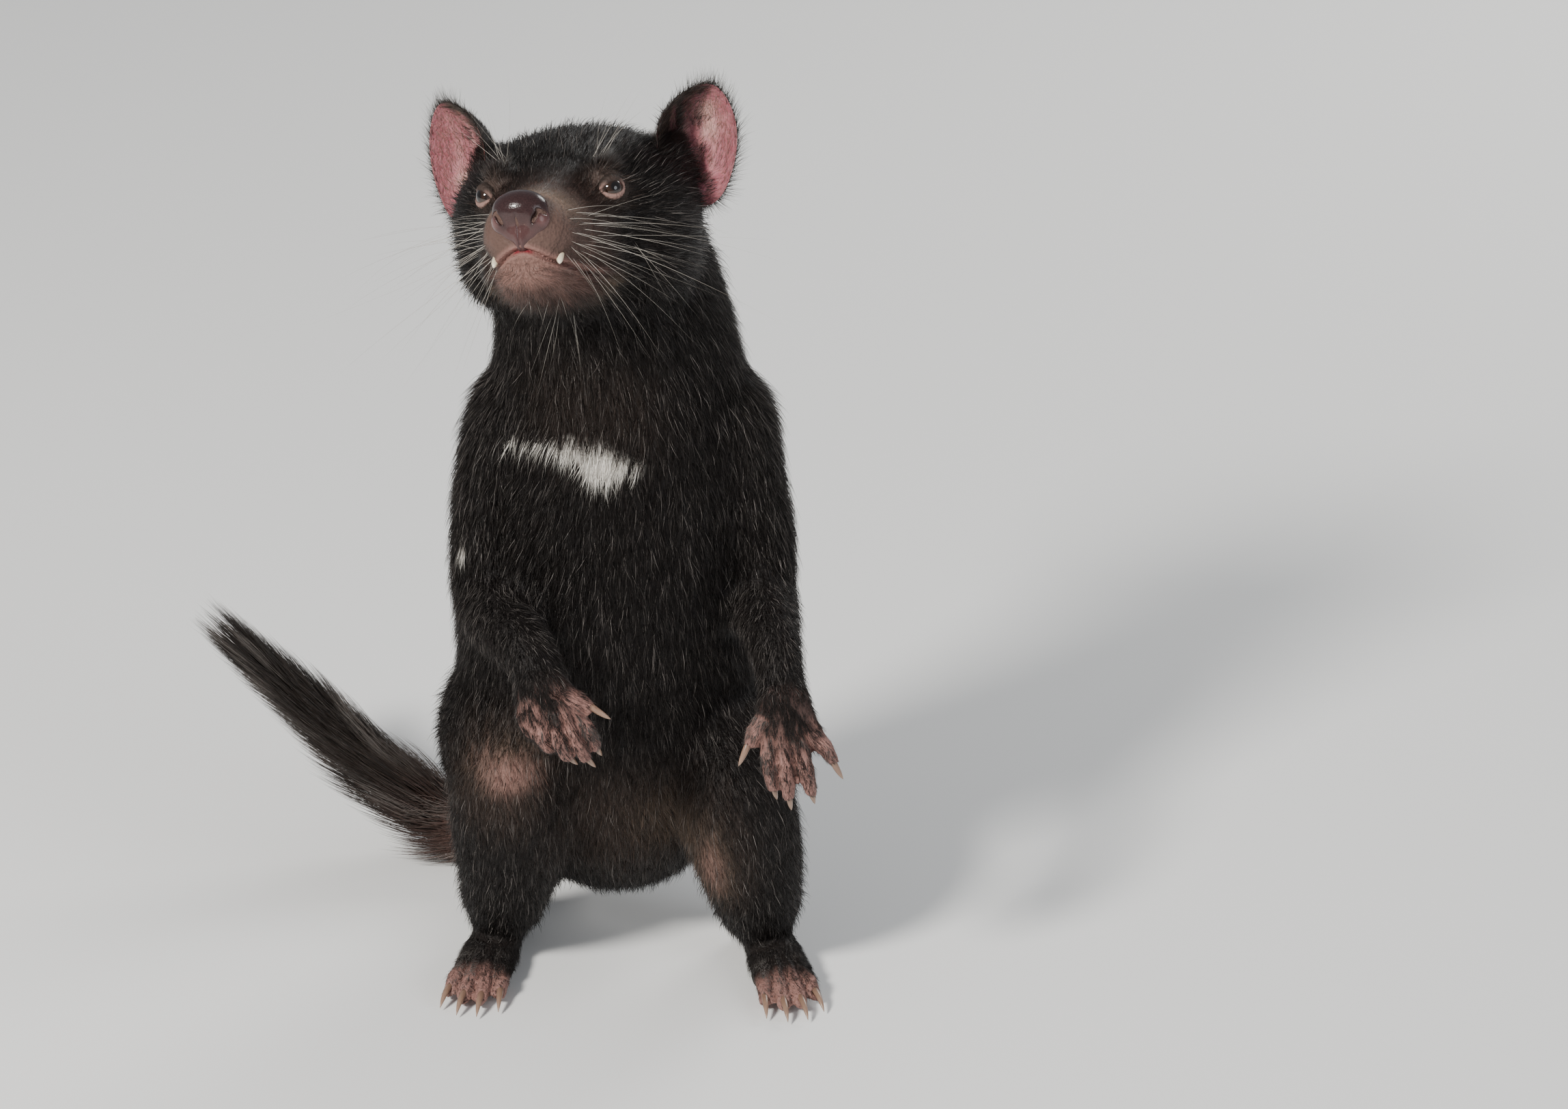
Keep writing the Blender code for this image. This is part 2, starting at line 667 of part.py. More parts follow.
def ear(side):
    """A thin cupped ear. Its rim is an egg shape, and the cup is deepest below the middle."""
    sign = 1 if side == "left" else -1
    bm = bmesh.new()
    rings, around = 5, 18
    sheets = []
    for offset in (0.0, EAR_THICK):
        sheet = []
        for r in range(1, rings + 1):
            reach = r / rings
            ring = []
            for k in range(around):
                angle = 2 * math.pi * k / around
                across = EAR_HALF_WIDTH * reach * math.cos(angle) * (1 + EAR_EGG * math.sin(angle))
                up = EAR_HALF_HEIGHT * reach * math.sin(angle)
                thin = offset * (1 - 0.35 * reach**2)
                deep = EAR_CUP * (1 - reach**2.2) + thin
                ring.append(bm.verts.new((across * sign, deep, up)))
            sheet.append(ring)
        centre = bm.verts.new((0, EAR_CUP + offset, 0))
        for k in range(around):
            bm.faces.new((centre, sheet[0][k], sheet[0][(k + 1) % around]))
        for low, high in zip(sheet, sheet[1:]):
            for k in range(around):
                m = (k + 1) % around
                bm.faces.new((low[k], low[m], high[m], high[k]))
        sheets.append(sheet)
    inner, outer = sheets[0][-1], sheets[1][-1]
    for k in range(around):
        m = (k + 1) % around
        bm.faces.new((inner[k], inner[m], outer[m], outer[k]))
    bmesh.ops.transform(bm, matrix=HEAD_FRAME @ ear_place(sign), verts=bm.verts)
    return new_object(f"ear_{side}", bm)


def ear_place(sign):
    """Where an ear stands on the head: its cup faces forwards and outwards."""
    centre = Matrix.Translation(mirrored(EAR_CENTRE, sign))
    yaw = Matrix.Rotation(EAR_YAW * sign, 4, "Z")
    pitch = Matrix.Rotation(EAR_PITCH, 4, "X")
    lean = Matrix.Rotation(EAR_LEAN * sign, 4, "Y")
    return centre @ yaw @ pitch @ lean


def canine(side):
    sign = 1 if side == "left" else -1
    root, tip = (HEAD_FRAME @ mirrored(CANINE[end], sign) for end in ("root", "tip"))
    bow = HEAD_FRAME.to_3x3() @ Vector((0, -0.0008, 0))
    return claw(f"canine_{side}", root, tip, bow, (0.0022, 0.0021, 0.0015, 0.0006))


def build_body():
    """The trunk with its limbs fused on, and the limbs taken out of it again as nodes."""
    pieces = [tube("torso", TORSO, around=28, steps=30), tube("neck", NECK, around=24, steps=24)]
    pieces += [tube("arm", ARM[side], around=16) for side in ARM]
    pieces += [tube("leg", LEG[side], around=20, steps=30) for side in LEG]
    pieces.append(tube("rump", TAIL[:4], around=20))
    pieces.append(ball("chest", (0.003, 0.030, 0.300), (0.050, 0.036, 0.045)))
    pieces.append(ball("belly", (-0.002, 0.035, 0.165), (0.058, 0.045, 0.070)))
    pieces.append(tube("braincase", BRAINCASE, around=20, frame=HEAD_FRAME))
    pieces.append(tube("jaw", JAW, around=20, frame=HEAD_FRAME))
    return fused("torso", pieces, 0.0034, 4, 2400)


def limbs(torso):
    made = []
    for side in ("right", "left"):
        arm = limb_out(torso, ARM[side], f"upper_arm_{side}")
        elbow, wrist = Vector(ARM[side][4][:3]), Vector(ARM[side][-2][:3])
        down = Vector(ARM[side][5][:3]) - Vector(ARM[side][3][:3])
        upper, lower = parted(arm, elbow, down, (f"upper_arm_{side}", f"forearm_{side}"))
        along = wrist - Vector(ARM[side][-3][:3])
        cut_plane(lower, wrist - along.normalized() * SEAM / 2, along)
        palm, claws = hand(side)
        cut_plane(palm, wrist + along.normalized() * SEAM / 2, -along)
        made += [upper, lower, palm, *claws]
        leg = limb_out(torso, LEG[side], f"thigh_{side}")
        knee, ankle = Vector(LEG[side][5][:3]), Vector(LEG[side][7][:3])
        thigh, shank = parted(leg, knee, KNEE_DOWN, (f"thigh_{side}", f"shank_{side}"))
        cut_plane(shank, ankle + Vector((0, 0, SEAM / 2)), (0, 0, -1))
        sole, claws_below = foot(side)
        cut_plane(sole, ankle - Vector((0, 0, SEAM / 2)), (0, 0, 1))
        made += [thigh, shank, sole, *claws_below]
        for flesh, horns in ((palm, claws), (sole, claws_below)):
            for horn in horns:
                trimmed_by(flesh, horn)
    return made


def between(pair, share):
    """A value part of the way from the first of a pair to the second."""
    return pair[0] + (pair[1] - pair[0]) * share


def lock(root, ahead, out, length, lift, sway):
    """A flat tapered lock: it leaves the tail at a slant, bends over, and lies along its lie."""
    flat = ahead.cross(out)
    path = ((0.0, 0.0, 0.0), (0.30, 0.85, 0.20), (0.66, 1.08, 0.60), (1.0, 0.92, 1.0))
    widths = (0.80, 1.0, 0.72, 0.10)
    stations = []
    for (along, up, aside), width in zip(path, widths):
        spot = root + ahead * length * along + out * lift * up + flat * sway * aside
        stations.append((*spot, LOCK_HALF_WIDTH * width, LOCK_HALF_THICK * (0.35 + 0.65 * width)))
    return tube("lock", stations, side=flat, around=4, steps=4)


def brush_locks():
    """All the locks of the tail, ring by ring, shorter and more at its root."""
    draw = random.Random(11)
    line = spread(TAIL, 61)
    locks = []
    for ring in range(LOCK_RINGS):
        share = ring / (LOCK_RINGS - 1)
        i = round(between((LOCK_FROM, LOCK_TO), share) * 60)
        centre, ahead = Vector(line[i][:3]), Vector(line[i + 1][:3]) - Vector(line[i][:3])
        ahead.normalize()
        up = (Vector((0, 0, 1)) - ahead * ahead.z).normalized()
        count = round(between(LOCKS_A_RING, share))
        for k in range(count):
            turn = 2 * math.pi * (k + 0.5 * (ring % 2) + draw.uniform(-0.12, 0.12)) / count
            out = up * math.cos(turn) + ahead.cross(up) * math.sin(turn)
            root = centre + out * max(0.0008, line[i][3] - LOCK_SUNK) + ahead * draw.uniform(-0.003, 0.003)
            length = between(LOCK_LENGTH, share) * draw.uniform(0.88, 1.12)
            lift = between(LOCK_LIFT, share) * draw.uniform(0.85, 1.15) + LOCK_SUNK
            locks.append(lock(root, ahead, out, length, lift, draw.uniform(-0.006, 0.006)))
    return locks


def joined(obj, pieces):
    """Joins many closed pieces to an object in one union, and uses them up."""
    group = bpy.data.collections.new("joined")
    for piece in pieces:
        group.objects.link(piece)
    before = obj.data.copy()
    for solver in ("EXACT", "MANIFOLD"):
        step = obj.modifiers.new("union", "BOOLEAN")
        step.operation = "UNION"
        step.operand_type = "COLLECTION"
        step.collection = group
        step.solver = solver
        evaluated(obj)
        if is_sound(obj.data):
            break
        obj.data = before.copy()
    for piece in pieces:
        bpy.data.objects.remove(piece)
    bpy.data.collections.remove(group)
    return largest(obj)


def tail_lengths(torso):
    point, along = TAIL_CUT
    along = along.normalized()
    turn = along.to_track_quat("Z", "Y").to_matrix().to_4x4()
    reach = 0.032
    boolean(torso, block("stump", point + along * (reach - SEAM / 2), (reach,) * 3, turn), "DIFFERENCE")
    largest(torso)
    whole = fused("tail", [tube("tail", TAIL, side=(0, 0, 1), around=20, steps=40)], 0.0024, 3, 760)
    cut_plane(whole, point + along * SEAM / 2, -along)
    base, rest = parted(whole, *TAIL_BARE_CUT, ("tail_base", "tail_rest"))
    middle, brush = parted(rest, *TAIL_BRUSH_CUT, ("tail_middle", "tail_brush"))
    joined(brush, brush_locks())
    point, along = TAIL_BRUSH_CUT
    cut_plane(brush, point + along.normalized() * SEAM / 2, -along)
    return [cut_plane(piece, (0, 0, FLOOR), (0, 0, -1)) for piece in (base, middle, brush)]


def build_head(torso):
    """The head, its features cut in, and the neck, which meets it behind the jaw."""
    head = head_flesh()
    point = HEAD_FRAME @ NECK_CUT[0]
    normal = HEAD_FRAME.to_3x3() @ NECK_CUT[1].normalized()
    cut_plane(head, point - normal * SEAM / 2, normal)
    cut_plane(torso, point + normal * SEAM / 2, -normal)
    torso, neck = parted(torso, *CHEST_CUT, ("torso", "neck"))
    made = [head, neck]
    lips = lip_line(head)
    boolean(head, lips, "DIFFERENCE")
    largest(head)
    pad = nose()
    made.append(pad)
    trimmed_by(head, pad)
    for side, sign in (("left", 1), ("right", -1)):
        eyeball = ball(f"eye_{side}", eye_centre(sign), (EYE_RADIUS,) * 3, HEAD_FRAME, None, 12, 8)
        boolean(head, opening(sign), "DIFFERENCE")
        trimmed_by(head, eyeball)
        tooth = canine(side)
        trimmed_by(head, tooth)
        cup = ear(side)
        trimmed_by(cup, head)
        made += [eyeball, tooth, cup]
    largest(head)
    return made


def settle(pieces):
    """Shifts the whole so that the floor is z = 0 and the box stands over the origin."""
    corners = np.array([v.co for piece in pieces for v in piece.data.vertices])
    low, high = corners.min(0), corners.max(0)
    shift = Vector(((low[0] + high[0]) / -2, (low[1] + high[1]) / -2, -low[2]))
    for piece in pieces:
        piece.data.transform(Matrix.Translation(shift))
        kind = piece.name.split("_")[0]
        piece.data.materials.clear()
        piece.data.materials.append(material(piece.name, *FINISH.get(kind, FINISH["coat"])))
        piece.data.shade_smooth()


clear_scene()
body = build_body()
parts = limbs(body)
parts += tail_lengths(body)
parts += build_head(body)
parts.append(body)
settle(parts)
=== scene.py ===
"""The looks of a Tasmanian devil that stands up on its hind legs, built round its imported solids.

Metres, +Z up. The animal faces -Y, with its own left side at +X. One skin takes the place of all
the solids of flesh, and a coat of solid tufts lies over it. Each section below is one piece of
the animal, or a group of like pieces.
"""

import math

import bmesh
import bpy
import numpy as np
from mathutils import Matrix, Vector


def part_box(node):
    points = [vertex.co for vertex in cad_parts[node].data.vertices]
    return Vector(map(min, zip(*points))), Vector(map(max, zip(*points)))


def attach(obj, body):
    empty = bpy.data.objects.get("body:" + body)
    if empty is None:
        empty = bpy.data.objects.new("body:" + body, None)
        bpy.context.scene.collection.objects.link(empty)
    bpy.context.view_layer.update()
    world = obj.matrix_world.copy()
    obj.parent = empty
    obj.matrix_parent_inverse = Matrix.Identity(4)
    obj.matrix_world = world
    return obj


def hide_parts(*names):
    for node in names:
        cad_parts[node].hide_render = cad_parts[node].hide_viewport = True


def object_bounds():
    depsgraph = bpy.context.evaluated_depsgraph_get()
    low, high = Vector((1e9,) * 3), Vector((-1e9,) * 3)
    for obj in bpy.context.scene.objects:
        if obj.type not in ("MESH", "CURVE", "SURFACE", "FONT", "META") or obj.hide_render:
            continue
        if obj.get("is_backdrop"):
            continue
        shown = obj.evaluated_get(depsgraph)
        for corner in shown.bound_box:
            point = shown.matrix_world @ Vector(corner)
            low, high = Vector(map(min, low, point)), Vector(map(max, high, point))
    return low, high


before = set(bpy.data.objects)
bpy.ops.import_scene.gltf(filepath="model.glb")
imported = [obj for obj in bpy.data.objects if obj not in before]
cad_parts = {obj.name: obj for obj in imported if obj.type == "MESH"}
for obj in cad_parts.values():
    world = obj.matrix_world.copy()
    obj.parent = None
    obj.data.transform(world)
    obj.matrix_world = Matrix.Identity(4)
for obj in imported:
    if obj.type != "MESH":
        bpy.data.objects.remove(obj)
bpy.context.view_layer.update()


# The pose
# The trunk stands nearly upright, the forelegs hang, and the raised head is turned to the
# animal's right. Every place below is set out from the eyes, as the solids have them.
HEAD_CENTRE = np.array((-0.0185, 0.025, 0.4265))
HEAD_TURN = np.array(
    Matrix.Rotation(math.radians(-17.0), 3, "Z")
    @ Matrix.Rotation(math.radians(-27.0), 3, "X")
    @ Matrix.Rotation(math.radians(-10.0), 3, "Y")
)
EYE_PLACE = np.array((0.0310, -0.0415, 0.0095))
EYE_RADIUS = 0.0063


def middle(node):
    """The middle of a solid's box."""
    low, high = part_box(node)
    return np.array((low + high) / 2)


HEAD_AT = middle("eye_left") - HEAD_TURN @ EYE_PLACE
HOME = HEAD_AT - HEAD_CENTRE


def unit(vectors):
    """Vectors, each divided by its own length."""
    return vectors / np.maximum(np.linalg.norm(vectors, axis=-1, keepdims=True), 1e-12)


def from_head(points):
    """Points of the head's own frame, where the snout is along -y and z is up, set in place."""
    return np.asarray(points, float) @ HEAD_TURN.T + HEAD_AT


def to_head(points):
    """Points of the scene, in the head's own frame."""
    return (np.asarray(points, float) - HEAD_AT) @ HEAD_TURN


def smooth_step(low, high, values):
    """0 below low, 1 above high, and an even S between them."""
    share = np.clip((values - low) / (high - low), 0.0, 1.0)
    return share * share * (3.0 - 2.0 * share)


def bump_at(values, width):
    """A bell: 1 where the value is 0, and a third at one width from it."""
    return np.exp(-((values / width) ** 2))


# The lines that the coat lies along: a row is x, y, z, radius of the flesh, length of hair.
LINES = {
    "trunk": [
        (-0.014, 0.042, 0.424, 0.050, 0.0100),
        (-0.002, 0.049, 0.366, 0.060, 0.0120),
        (0.003, 0.050, 0.330, 0.062, 0.0125),
        (0.002, 0.048, 0.295, 0.067, 0.0125),
        (-0.0095, 0.056, 0.190, 0.074, 0.0110),
        (-0.002, 0.083, 0.075, 0.063, 0.0100),
        (0.001, 0.087, 0.028, 0.040, 0.0090),
    ],
    "arm_right": [
        (-0.040, 0.050, 0.335, 0.026, 0.0110),
        (-0.059, 0.039, 0.280, 0.027, 0.0105),
        (-0.067, 0.019, 0.226, 0.020, 0.0085),
        (-0.047, -0.035, 0.221, 0.016, 0.0070),
        (-0.0365, -0.058, 0.206, 0.0125, 0.0050),
    ],
    "arm_left": [
        (0.046, 0.050, 0.333, 0.026, 0.0110),
        (0.064, 0.043, 0.275, 0.026, 0.0105),
        (0.074, 0.033, 0.218, 0.020, 0.0085),
        (0.081, -0.016, 0.209, 0.015, 0.0070),
        (0.085, -0.038, 0.190, 0.0115, 0.0050),
    ],
    "hand_right": [
        (-0.0355, -0.0605, 0.204, 0.0130, 0.0042),
        (-0.0285, -0.0625, 0.1885, 0.0165, 0.0032),
        (-0.0180, -0.0640, 0.168, 0.0170, 0.0022),
    ],
    "hand_left": [
        (0.0855, -0.0410, 0.188, 0.0130, 0.0042),
        (0.0875, -0.0450, 0.170, 0.0165, 0.0032),
        (0.0890, -0.0470, 0.140, 0.0190, 0.0022),
    ],
    "leg_right": [
        (-0.042, 0.082, 0.118, 0.043, 0.0100),
        (-0.055, 0.045, 0.128, 0.046, 0.0095),
        (-0.057, 0.014, 0.112, 0.032, 0.0075),
        (-0.058, 0.030, 0.064, 0.0290, 0.0085),
        (-0.061, 0.052, 0.022, 0.0200, 0.0065),
    ],
    "leg_left": [
        (0.040, 0.082, 0.108, 0.042, 0.0100),
        (0.053, 0.045, 0.117, 0.043, 0.0095),
        (0.061, 0.012, 0.106, 0.031, 0.0080),
        (0.068, 0.026, 0.062, 0.0290, 0.0085),
        (0.071, 0.046, 0.022, 0.0195, 0.0065),
    ],
    "foot_right": [
        (-0.061, 0.062, 0.012, 0.0160, 0.0045),
        (-0.068, 0.020, 0.009, 0.0150, 0.0036),
        (-0.075, -0.014, 0.007, 0.0170, 0.0024),
    ],
    "foot_left": [
        (0.073, 0.056, 0.012, 0.0160, 0.0045),
        (0.081, 0.016, 0.009, 0.0150, 0.0036),
        (0.089, -0.020, 0.007, 0.0170, 0.0024),
    ],
    "tail": [
        (0.002, 0.108, 0.074, 0.026, 0.0080),
        (-0.018, 0.134, 0.044, 0.0240, 0.0075),
        (-0.050, 0.148, 0.0225, 0.0220, 0.0070),
        (-0.090, 0.154, 0.0190, 0.0190, 0.0100),
        (-0.128, 0.165, 0.0410, 0.0140, 0.0120),
        (-0.164, 0.178, 0.0710, 0.0095, 0.0120),
        (-0.205, 0.194, 0.1040, 0.0048, 0.0120),
    ],
}
HEAD_LINE = [
    (0, -0.0900, -0.0120, 0.0170, 0.0018),
    (0, -0.0620, -0.0150, 0.0290, 0.0032),
    (0, -0.0350, -0.0100, 0.0420, 0.0050),
    (0, 0.0000, -0.0020, 0.0600, 0.0078),
    (0, 0.0350, 0.0000, 0.0540, 0.0100),
]
head_rows = np.array(HEAD_LINE)
head_rows[:, :3] = from_head(head_rows[:, :3])
lines = {"head": head_rows}
for line_name, line_rows in LINES.items():
    lines[line_name] = np.array(line_rows) + np.array((*HOME, 0.0, 0.0))
LEAST_RATIO = 0.2
LEAD = 9.0


def on_segment(points, start, end):
    """For points by a straight length of line: how far along it the nearest spot is, from 0 to
    1, and how far away."""
    run = end - start
    t = np.clip((points - start) @ run / (run @ run), 0.0, 1.0)
    return t, np.linalg.norm(points - start - t[:, None] * run, axis=1)


def along_lines(points):
    """For points on the skin: the way of the coat, the hair's length, and each line's share.

    On each line the nearest spot is the one with the least distance for its radius. The ways
    and lengths there are mixed by that ratio to a high power, so the nearest line leads."""
    ways = np.zeros((len(points), 3))
    hair = np.zeros(len(points))
    shares = {}
    total = np.zeros(len(points))
    for name, rows in lines.items():
        tangents = unit(np.gradient(rows[:, :3], axis=0))
        best = np.full(len(points), 1e9)
        way, length = np.zeros((len(points), 3)), np.zeros(len(points))
        for i in range(len(rows) - 1):
            t, off = on_segment(points, rows[i, :3], rows[i + 1, :3])
            ratio = off / (rows[i, 3] + (rows[i + 1, 3] - rows[i, 3]) * t)
            near = ratio < best
            best = np.where(near, ratio, best)
            turned = tangents[i] + (tangents[i + 1] - tangents[i]) * t[:, None]
            way[near] = turned[near]
            length[near] = (rows[i, 4] + (rows[i + 1, 4] - rows[i, 4]) * t)[near]
        share = np.maximum(best, LEAST_RATIO) ** -LEAD
        ways += way * share[:, None]
        hair += length * share
        total += share
        shares[name] = share
    return unit(ways), hair / total, {name: share / total for name, share in shares.items()}


# The skin
# One closed skin in place of every solid of flesh, as deep under the tips of the coat as the
# coat is thick. The solids are swollen until they touch, made one, smoothed and thinned out.
FLESH = ("torso", "neck", "head", "upper", "forearm", "hand", "thigh", "shank", "foot")
TAIL_FLESH = ("tail_base", "tail_middle")
JOIN_BY = 0.0004
SKIN_VOXEL = 0.0015
SKIN_TRIANGLES = 104000
COAT_DEPTH = 0.26
LEAST_DEPTH = 0.0003
TAIL_CORE = 0.72
SOFT_STEPS = 8
ROUGH_ROUNDS, SOFT_ROUNDS, LIP_ROUNDS = 5, 26, 22
TAIL_ROUNDS = 12


def ring_quads(rings, around):
    """Numbers of the points of rings, of the points beside them, and the quads between."""
    here = np.arange(rings * around).reshape(rings, around)
    beside = np.roll(here, -1, axis=1)
    quads = np.stack((here[:-1], beside[:-1], beside[1:], here[1:]), axis=-1)
    return here, beside, quads.reshape(-1, 4)


def grid_mesh(name, rows):
    """A closed tube from an array of rings (ring, round, xyz), its two ends shut to a point."""
    rings, around = rows.shape[:2]
    ends = np.array((rows[0].mean(0), rows[-1].mean(0)))
    points = np.concatenate((rows.reshape(-1, 3), ends))
    here, beside, quads = ring_quads(rings, around)
    first, last = rings * around, rings * around + 1
    start = np.stack((beside[0], here[0], np.full(around, first)), axis=-1)
    stop = np.stack((here[-1], beside[-1], np.full(around, last)), axis=-1)
    mesh = bpy.data.meshes.new(name)
    mesh.from_pydata(points, [], quads.tolist() + start.tolist() + stop.tolist())
    return mesh


def linked(name, mesh, smooth=True):
    """An object of the scene that holds this mesh, at the origin."""
    piece = bpy.data.objects.new(name, mesh)
    bpy.context.scene.collection.objects.link(piece)
    mesh.polygons.foreach_set("use_smooth", np.full(len(mesh.polygons), smooth))
    return piece


def mesh_of(name, net):
    """A new mesh that holds what a bmesh holds, and the end of the bmesh."""
    mesh = bpy.data.meshes.new(name)
    net.to_mesh(mesh)
    net.free()
    return mesh


def poured(mesh, into):
    """Adds a mesh to a bmesh, and takes the mesh away."""
    into.from_mesh(mesh)
    bpy.data.meshes.remove(mesh)


def pushed_copy(into, mesh, push):
    """Adds a solid to a bmesh, its doubles merged and its surface moved out by push."""
    solid = bmesh.new()
    solid.from_mesh(mesh)
    bmesh.ops.remove_doubles(solid, verts=solid.verts, dist=1e-6)
    solid.normal_update()
    for vertex in solid.verts:
        vertex.co += vertex.normal * push
    poured(mesh_of("moved", solid), into)


def applied(piece):
    """Puts what the piece's modifiers make of its mesh in the mesh's place."""
    bpy.context.view_layer.update()
    graph = bpy.context.evaluated_depsgraph_get()
    mesh = bpy.data.meshes.new_from_object(piece.evaluated_get(graph))
    piece.modifiers.clear()
    old = piece.data
    piece.data = mesh
    bpy.data.meshes.remove(old)
    return piece


def fused(piece, voxel):
    """Makes one closed surface of all parts of the piece, with faces the size of the voxel."""
    remesh = piece.modifiers.new("one", "REMESH")
    remesh.mode = "VOXEL"
    remesh.voxel_size = voxel
    return applied(piece)


def positions(mesh):
    """The mesh's points as an array."""
    flat = np.empty(len(mesh.vertices) * 3, np.float32)
    mesh.vertices.foreach_get("co", flat)
    return flat.reshape(-1, 3).astype(float)


def set_positions(mesh, points):
    """Puts the mesh's points where the array says."""
    mesh.vertices.foreach_set("co", points.astype(np.float32).ravel())
    mesh.update()


def normals(mesh):
    """The mesh's outward way at each of its points, as an array."""
    flat = np.empty(len(mesh.vertices) * 3, np.float32)
    mesh.vertex_normals.foreach_get("vector", flat)
    return flat.reshape(-1, 3).astype(float)


def relaxed(mesh, points, strength, rounds):
    """Points moved some times towards the mean of their neighbours, by a share of the way that
    is one strength for all or one for each."""
    flat = np.empty(len(mesh.edges) * 2, np.int32)
    mesh.edges.foreach_get("vertices", flat)
    one, other = flat.reshape(-1, 2).T
    count = np.bincount(one, minlength=len(points)) + np.bincount(other, minlength=len(points))
    for _ in range(rounds):
        mean = np.empty_like(points)
        for axis in range(3):
            total = np.bincount(one, points[other, axis], len(points))
            total += np.bincount(other, points[one, axis], len(points))
            mean[:, axis] = total / np.maximum(count, 1)
        points = points + (mean - points) * np.reshape(strength, (-1, 1))
    return points


def rings_round(line, radius, around, level, flat=1.0):
    """Rings square to a line, and the line's way at each.

    A ring's side is square to the way and to the level, and its up is square to both. Its
    points are the line's, plus the radius times (side times flat times cos, plus up times sin)
    of even turns."""
    along = unit(np.gradient(line, axis=0))
    side = unit(np.cross(along, level))
    up = np.cross(side, along)
    turn = np.linspace(0, 2 * np.pi, around, endpoint=False)[:, None]
    ring = side[:, None] * np.cos(turn) * flat + up[:, None] * np.sin(turn)
    return line[:, None] + ring * radius[:, None, None], along


def tail_rings(around=24, steps=60):
    """The tail's flesh: rings square to its line, from half way down its bare part to its tip."""
    rows = lines["tail"][2:]
    at = np.linspace(0.0, len(rows) - 1.0, steps)
    table = np.stack([np.interp(at, np.arange(len(rows)), rows[:, k]) for k in range(4)], axis=1)
    for _ in range(TAIL_ROUNDS):
        table[1:-1] = (table[:-2] + table[2:]) / 2
    return rings_round(table[:, :3], table[:, 3] * TAIL_CORE, around, (0.0, 0.0, 1.0))


def flesh_as_one():
    """Every solid of flesh in one mesh, with the nose and eyeballs, which fill their sockets."""
    whole = bmesh.new()
    for name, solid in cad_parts.items():
        if name.split("_")[0] in FLESH or name in TAIL_FLESH or name == "nose":
            pushed_copy(whole, solid.data, JOIN_BY)
        if name.startswith("eye_"):
            pushed_copy(whole, solid.data, -JOIN_BY)
    tail, _ = tail_rings()
    poured(grid_mesh("tail_core", tail), whole)
    return mesh_of("skin", whole)


skin = fused(linked("skin", flesh_as_one()), SKIN_VOXEL)


def softness(points):
    """How strongly the skin is smoothed: fully on the trunk, lightly on hands, feet and face."""
    _, _, shares = along_lines(points)
    fine = sum(shares[name] for name in shares if name[:4] in ("hand", "foot"))
    face = shares["head"] * smooth_step(0.012, -0.020, to_head(points)[:, 1])
    return np.clip(1.0 - fine - 0.75 * face, 0.0, 1.0)


# The steps of the voxels go first, then every soft part is smoothed, then the lips' old line.
points = positions(skin.data)
soft = softness(points)
points = relaxed(skin.data, points, 0.25 + 0.4 * soft, ROUGH_ROUNDS)
points = relaxed(skin.data, points, 0.62 * soft, SOFT_ROUNDS)
local = to_head(points)
lips = (local[:, 1] < -0.028) * bump_at(local[:, 2] + 0.0285, 0.0075)
lips = lips * smooth_step(0.05, 0.04, np.abs(local[:, 0]))
points = relaxed(skin.data, points, 0.8 * lips, LIP_ROUNDS)
set_positions(skin.data, points)

# Soft parts are thinned out most, so that the face, hands and feet keep their points.
group = skin.vertex_groups.new(name="thin")
steps = np.round(softness(points) * SOFT_STEPS).astype(int)
for step in range(1, SOFT_STEPS + 1):
    group.add(np.flatnonzero(steps == step).tolist(), step / SOFT_STEPS, "REPLACE")
thin = skin.modifiers.new("thin", "DECIMATE")
thin.ratio = min(1.0, SKIN_TRIANGLES / (2 * len(skin.data.polygons)))
thin.vertex_group = group.name
applied(skin)
skin.vertex_groups.clear()


def finer(mesh, wanted):
    """Splits every edge whose two ends are wanted, so that the faces there are half as large."""
    net = bmesh.new()
    net.from_mesh(mesh)
    net.verts.ensure_lookup_table()
    edges = [e for e in net.edges if wanted[e.verts[0].index] and wanted[e.verts[1].index]]
    bmesh.ops.subdivide_edges(net, edges=edges, cuts=1, use_grid_fill=True)
    net.to_mesh(mesh)
    net.free()


# The mouth runs round the muzzle below the nose. It arches up in front, between the canines, and
# dips a little more towards its corners.
LIP_FRONT = -0.0258
LIP_ARCH = 0.0060
LIP_ARCH_TURN = math.radians(20.0)
LIP_DIP = 0.0045
MOUTH_TURN = math.radians(118.0)
MOUTH_MIDDLE = -0.056
SOCKET_RADIUS = 0.0069
SOCKET_REACH = 0.0092
EYE_AT = EYE_PLACE + (0.0, 0.0, -0.0018)
BROW_AT = np.array((0.0290, -0.0400, 0.0215))
MOUTH_PAD_AT = np.array((0.0330, -0.0400, -0.0400))


def distance(points, place):
    """How far each point is from a place."""
    return np.linalg.norm(points - place, axis=1)


def mouth_turn(face):
    """How far round the muzzle a point is, from 0 in front, in head coordinates."""
    return np.arctan2(face[:, 0], -(face[:, 1] - MOUTH_MIDDLE))


def lip_height(face):
    """How far a point is above the line between the lips.

    That line is the front's height, less the arch, which rises to its full height as a bell
    falls off sideways, less the dip times the square of the turn's share of the mouth's end."""
    turn = np.abs(mouth_turn(face))
    arch = LIP_ARCH * (1 - np.exp(-((turn / LIP_ARCH_TURN) ** 2)))
    return face[:, 2] - LIP_FRONT + arch + LIP_DIP * (turn / MOUTH_TURN) ** 2


